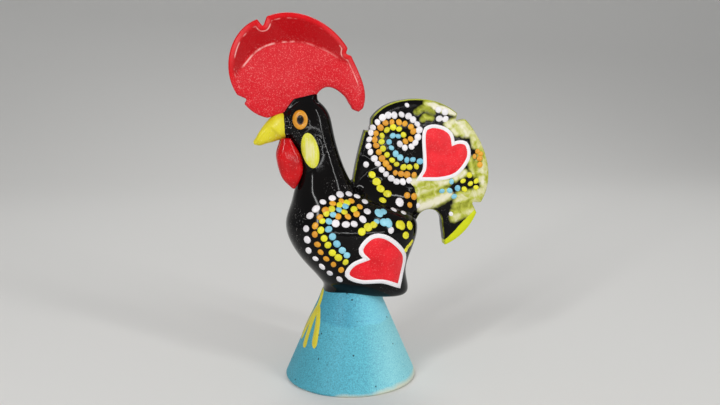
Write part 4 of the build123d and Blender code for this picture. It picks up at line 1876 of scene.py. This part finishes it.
# Places of the comb's crest and of all the paint in the side view, in mm
COMB_CREST = ((-43.0, 128.5), (-37.0, 135.0), (-30.0, 138.0), (-20.0, 138.5), (-10.5, 135.5), (-4.5, 132.0))
COMB_TOUCHES = (
    ((2.6, 112.3), (-1.4, -0.3), 1.9),
    ((0.3, 114.6), (-0.7, -0.4), 2.2),
    ((5.0, 112.6), (0.4, -0.2), 1.3),
)
BODY_DOTS = DotWork(
    "body",
    (
        DotRow(Paint.WHITE, 2.7, ((-6.5, 45.5), (-12.5, 49.5), (-18.5, 57.5), (-19.5, 66.0)), 7),
        DotRow(Paint.WHITE, 3.3, ((-18.0, 71.0), (-15.5, 74.0))),
        DotRow(
            Paint.WHITE, 2.7,
            ((-12.5, 76.5), (-5.0, 79.0), (3.0, 77.0), (5.0, 73.0), (0.0, 68.5), (-8.0, 68.5)), 11,
        ),
        DotRow(Paint.WHITE, 2.7, ((13.5, 65.0), (16.0, 72.0), (20.5, 71.0))),
        DotRow(Paint.WHITE, 4.1, ((19.5, 74.5),)),
        DotRow(
            Paint.ORANGE, 2.6,
            ((-6.0, 49.5), (-12.0, 54.5), (-16.0, 61.5), (-15.5, 69.0), (-10.0, 75.0), (-3.0, 77.0),
             (2.0, 74.0), (-1.0, 71.5), (-7.0, 71.0)), 16,
        ),
        DotRow(Paint.ORANGE, 2.6, ((23.0, 77.0), (26.0, 76.0), (24.0, 73.0))),
        DotRow(
            Paint.YELLOW, 2.6,
            ((-4.5, 53.0), (-9.5, 57.0), (-12.5, 62.0), (-14.0, 68.0), (-10.5, 73.5), (-3.0, 76.0)), 11,
        ),
        DotRow(Paint.YELLOW, 2.6, ((-5.0, 73.0), (-1.0, 73.5), (12.0, 75.5))),
        DotRow(Paint.YELLOW, 3.2, ((8.5, 85.5), (11.5, 80.5), (14.5, 78.0)), 4),
        DotRow(Paint.YELLOW, 2.9, ((2.0, 65.5), (6.5, 68.0)), 3),
        DotRow(Paint.YELLOW, 3.4, ((17.5, 67.0), (18.5, 66.5), (22.5, 66.0), (20.5, 62.5))),
        DotRow(Paint.YELLOW, 2.2, ((23.5, 59.0), (20.5, 56.0)), 4),
        DotRow(Paint.BLUE, 2.5, ((-4.0, 56.0), (-8.5, 61.5), (-11.0, 67.0), (-9.5, 71.5), (-4.0, 75.0)), 9),
        DotRow(Paint.BLUE, 2.5, ((8.0, 69.0),)),
        DotRow(Paint.BLUE, 3.4, ((9.5, 72.0), (11.0, 72.0), (11.0, 68.5), (13.0, 68.0))),
    ),
    fullness=1.15,
)
TAIL_DOTS = DotWork(
    "tail",
    (
        DotRow(
            Paint.WHITE, 2.7,
            ((24.0, 83.0), (18.5, 83.0), (13.0, 87.0), (9.5, 92.5), (7.0, 98.0), (9.0, 105.0),
             (13.0, 109.0), (20.0, 110.0), (25.0, 108.5), (28.0, 104.5), (27.0, 99.0), (23.0, 96.0),
             (20.0, 98.0)), 27,
        ),
        DotRow(Paint.WHITE, 2.7, ((6.0, 90.0), (36.0, 112.0), (39.0, 111.0), (36.5, 108.5), (39.0, 108.0))),
        DotRow(Paint.WHITE, 2.1, ((23.0, 114.0), (27.5, 72.0), (42.0, 68.5))),
        DotRow(
            Paint.ORANGE, 2.6,
            ((26.0, 85.5), (19.0, 86.0), (15.0, 89.0), (11.0, 95.5), (9.5, 100.0), (12.5, 105.5),
             (18.0, 107.0), (25.0, 105.0), (24.5, 100.5), (22.0, 99.0)), 20,
        ),
        DotRow(Paint.ORANGE, 2.3, ((53.0, 94.5), (51.5, 92.5), (54.0, 91.5), (54.5, 93.5), (54.0, 89.0))),
        DotRow(
            Paint.YELLOW, 2.5,
            ((27.0, 88.5), (21.0, 88.5), (17.0, 91.5), (12.5, 97.5), (13.0, 102.5), (18.0, 105.0),
             (21.5, 102.0)), 13,
        ),
        DotRow(
            Paint.YELLOW, 2.5,
            ((49.5, 84.5), (47.0, 82.5), (52.5, 82.0), (50.0, 81.0), (53.0, 79.5), (47.5, 79.0)),
        ),
        DotRow(Paint.BLUE, 2.5, ((28.5, 91.0), (20.0, 92.5), (16.0, 97.5), (16.0, 101.0), (19.5, 101.0)), 9),
        DotRow(Paint.BLUE, 2.5, ((42.0, 82.0), (41.5, 78.5), (44.5, 79.0), (43.5, 76.0), (38.0, 78.5))),
    ),
    fullness=1.08,
)
BODY_HEART = Heart(
    "body",
    ((5.0, 54.0), (2.0, 58.0), (6.0, 62.5), (11.5, 62.0), (17.5, 57.0), (20.0, 51.5), (18.0, 41.5)),
    ((18.0, 41.5), (11.0, 44.5), (2.0, 45.0), (-3.0, 47.5), (-1.0, 51.5), (5.0, 54.0)),
    middle=(10.0, 52.0),
    border=1.5,
)
TAIL_HEART = Heart(
    "tail",
    ((42.0, 97.0), (41.0, 101.5), (37.5, 104.0), (32.5, 104.5), (30.5, 101.5), (31.0, 88.5), (29.0, 84.0)),
    ((29.0, 84.0), (37.5, 84.0), (44.0, 86.0), (48.5, 92.0), (48.0, 97.0), (45.0, 98.0), (42.0, 97.0)),
    middle=(37.5, 94.0),
    border=1.25,
)
TAIL_STROKES = BrushWork(
    (
        StrokeFan(
            ((31.0, 114.5), (34.5, 113.5), (37.5, 112.0)), ((34.5, 113.0), (38.5, 112.0), (43.0, 110.5)),
            width=2.6, creams=(0.65, 0.9),
        ),
        StrokeFan(
            ((27.0, 111.0), (30.0, 112.5), (33.5, 110.5)), ((29.5, 108.0), (30.5, 109.0), (33.0, 108.5)),
            width=2.3, creams=(0.25, 0.3),
        ),
        StrokeFan(
            ((40.0, 106.0), (42.0, 104.5), (44.0, 102.5)), ((46.5, 108.0), (49.0, 105.0), (51.0, 101.5)),
            width=3.1, creams=(0.85, 0.6, 0.9, 0.5),
        ),
        StrokeFan(
            ((48.0, 105.5), (50.5, 102.0), (52.0, 97.0)), ((53.5, 97.5), (56.0, 92.0), (57.0, 86.5)),
            width=2.8, creams=(0.95, 0.45, 0.55),
        ),
        StrokeFan(
            ((50.0, 91.0), (51.0, 87.5), (52.5, 85.0)), ((55.0, 88.5), (56.0, 84.5), (56.0, 80.5)),
            width=2.9, creams=(0.6, 0.35, 0.75),
        ),
        StrokeFan(
            ((45.5, 76.0), (50.0, 76.5), (55.0, 77.5)), ((43.5, 67.0), (47.5, 68.5), (52.0, 69.5)),
            width=3.8, creams=(0.6, 0.75, 0.35, 0.3, 0.6),
        ),
        StrokeFan(
            ((23.5, 80.0), (27.0, 82.0), (33.0, 83.0)), ((29.5, 72.0), (34.5, 73.5), (40.5, 76.5)),
            width=4.4, creams=(0.8, 0.45, 0.7, 0.4, 0.9),
        ),
        StrokeFan(
            ((32.0, 81.0), (36.0, 81.5), (40.5, 82.0)), ((43.5, 83.5), (45.0, 84.5), (47.5, 85.5)),
            width=3.0, creams=(0.6, 0.85),
        ),
    )
)


# Studio


@dataclass
class Studio:
    """A pale sweep, soft lights and the camera."""

    camera_place: Spot = (-42.987, -305.865, 125.071)
    azimuth: float = -8.753
    elevation: float = 9.438
    lens: float = 37.79
    sensor: float = 36.0
    nearest: float = 0.01
    floor_colour: str = "#E2E1DE"
    floor_roughness: float = 0.9
    floor_size: float = 6.0
    wall_height: float = 2.5
    sweep: float = 1.4
    bend_share: float = 0.6
    bend_segments: int = 16
    flat: float = 1e-4
    air_colour: str = "#F2F3F5"
    air_strength: float = 0.38
    aim: Spot = (0.005, 0.0, 0.075)

    def floor(self) -> None:
        """Lays a pale sheet that sweeps up behind the bird."""
        deselect()
        bpy.ops.mesh.primitive_plane_add(size=self.floor_size)
        piece = bpy.context.active_object
        piece.name = "studio_floor"
        with editing(piece):
            bpy.ops.mesh.select_all(action="DESELECT")
        for point in piece.data.vertices:
            point.select = point.co.y > 0
            point.co.y = min(point.co.y, self.sweep)
        make_active(piece)
        bpy.ops.object.mode_set(mode="EDIT")
        bpy.ops.mesh.select_mode(type="EDGE")
        bpy.ops.mesh.extrude_region_move(TRANSFORM_OT_translate={"value": (0, 0, self.wall_height)})
        bpy.ops.object.mode_set(mode="OBJECT")
        for edge in piece.data.edges:
            ends = [piece.data.vertices[index].co for index in edge.vertices]
            edge.select = all(abs(end.y - self.sweep) < self.flat and abs(end.z) < self.flat for end in ends)
        bpy.ops.object.mode_set(mode="EDIT")
        bpy.ops.mesh.bevel(offset=self.sweep * self.bend_share, segments=self.bend_segments, affect="EDGES")
        bpy.ops.mesh.select_mode(type="VERT")
        bpy.ops.object.mode_set(mode="OBJECT")
        bpy.ops.object.shade_smooth()
        material = bpy.data.materials.new("pale_studio_paper")
        material.use_nodes = True
        shader = material.node_tree.nodes["Principled BSDF"]
        shader.inputs["Base Color"].default_value = linear(self.floor_colour)
        shader.inputs["Roughness"].default_value = self.floor_roughness
        piece.data.materials.append(material)

    def light(self, name: str, place: Sequence[float], size: Point, power: float) -> None:
        """Hangs a soft light that faces the bird.

        Args:
            name: The light's name.
            place: Where it hangs, in metres.
            size: Its width and height in metres.
            power: Its power in watts.
        """
        lamp = bpy.data.lights.new(name, "AREA")
        lamp.shape = "RECTANGLE"
        lamp.size, lamp.size_y = size
        lamp.energy = power
        holder = bpy.data.objects.new(name, lamp)
        holder.location = place
        toward = Vector(self.aim) - Vector(place)
        holder.rotation_euler = toward.to_track_quat("-Z", "Y").to_euler()
        bpy.context.scene.collection.objects.link(holder)

    def camera(self) -> None:
        """Sets the camera at the photograph's angle."""
        lens = bpy.data.cameras.new("photo_camera")
        lens.sensor_width = self.sensor
        lens.lens = self.lens
        lens.clip_start = self.nearest
        holder = bpy.data.objects.new("photo_camera", lens)
        holder.location = [value * MM for value in self.camera_place]
        tilt = math.radians(90.0 - self.elevation)
        holder.rotation_euler = (tilt, 0.0, math.radians(self.azimuth))
        bpy.context.scene.collection.objects.link(holder)
        bpy.context.scene.camera = holder

    def build(self) -> None:
        """Sets up floor, lights, world and camera."""
        self.floor()
        self.light("key_softbox", place=(-0.5, -0.55, 0.5), size=(0.05, 0.7), power=3.1)
        self.light("fill_softbox", place=(0.55, -0.6, 0.45), size=(0.05, 0.7), power=2.3)
        self.light("front_strip", place=(0.1, -0.85, 0.13), size=(0.9, 0.02), power=1.2)
        self.light("back_softbox", place=(0.1, 0.6, 0.7), size=(0.6, 0.2), power=2.0)
        world = bpy.data.worlds.new("studio_air")
        world.use_nodes = True
        air = world.node_tree.nodes["Background"]
        air.inputs["Color"].default_value = linear(self.air_colour)
        air.inputs["Strength"].default_value = self.air_strength
        bpy.context.scene.world = world
        bpy.context.scene.view_settings.view_transform = "Standard"
        self.camera()


def main() -> None:
    """Builds the rooster piece by piece and sets it in the studio."""
    logging.basicConfig(level=logging.INFO, format="%(name)s %(message)s")
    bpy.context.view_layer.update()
    cone = ConeBase()
    cone.build()
    tail = GlazedSlab(
        "tail_fan", "tail_fan_glazed", rim_half=2.6, bevel=1.8, bevel_rise=0.7, crown=12.0, crown_rise=0.65
    ).build()
    body = Body().build(tail)
    TAIL_STROKES.paint(tail)
    settle(tail, TAIL, ["tail_fan"])
    comb = GlazedSlab(
        "comb", "comb_enamelled", rim_half=1.9, bevel=2.3, bevel_rise=0.85, crown=10.5, crown_rise=0.6,
        outer_only=True, crest=COMB_CREST, touches=COMB_TOUCHES,
    )
    settle(comb.build(), COMB, ["comb"])
    Beak().build()
    Wattles().build()
    bpy.context.view_layer.update()
    skin = Ground([body, tail])
    Face().build(body)
    BODY_DOTS.build(skin)
    TAIL_DOTS.build(skin)
    BODY_HEART.build(body)
    TAIL_HEART.build(tail)
    Feet(cone).build()
    Studio().build()


if __name__ == "__main__":
    main()
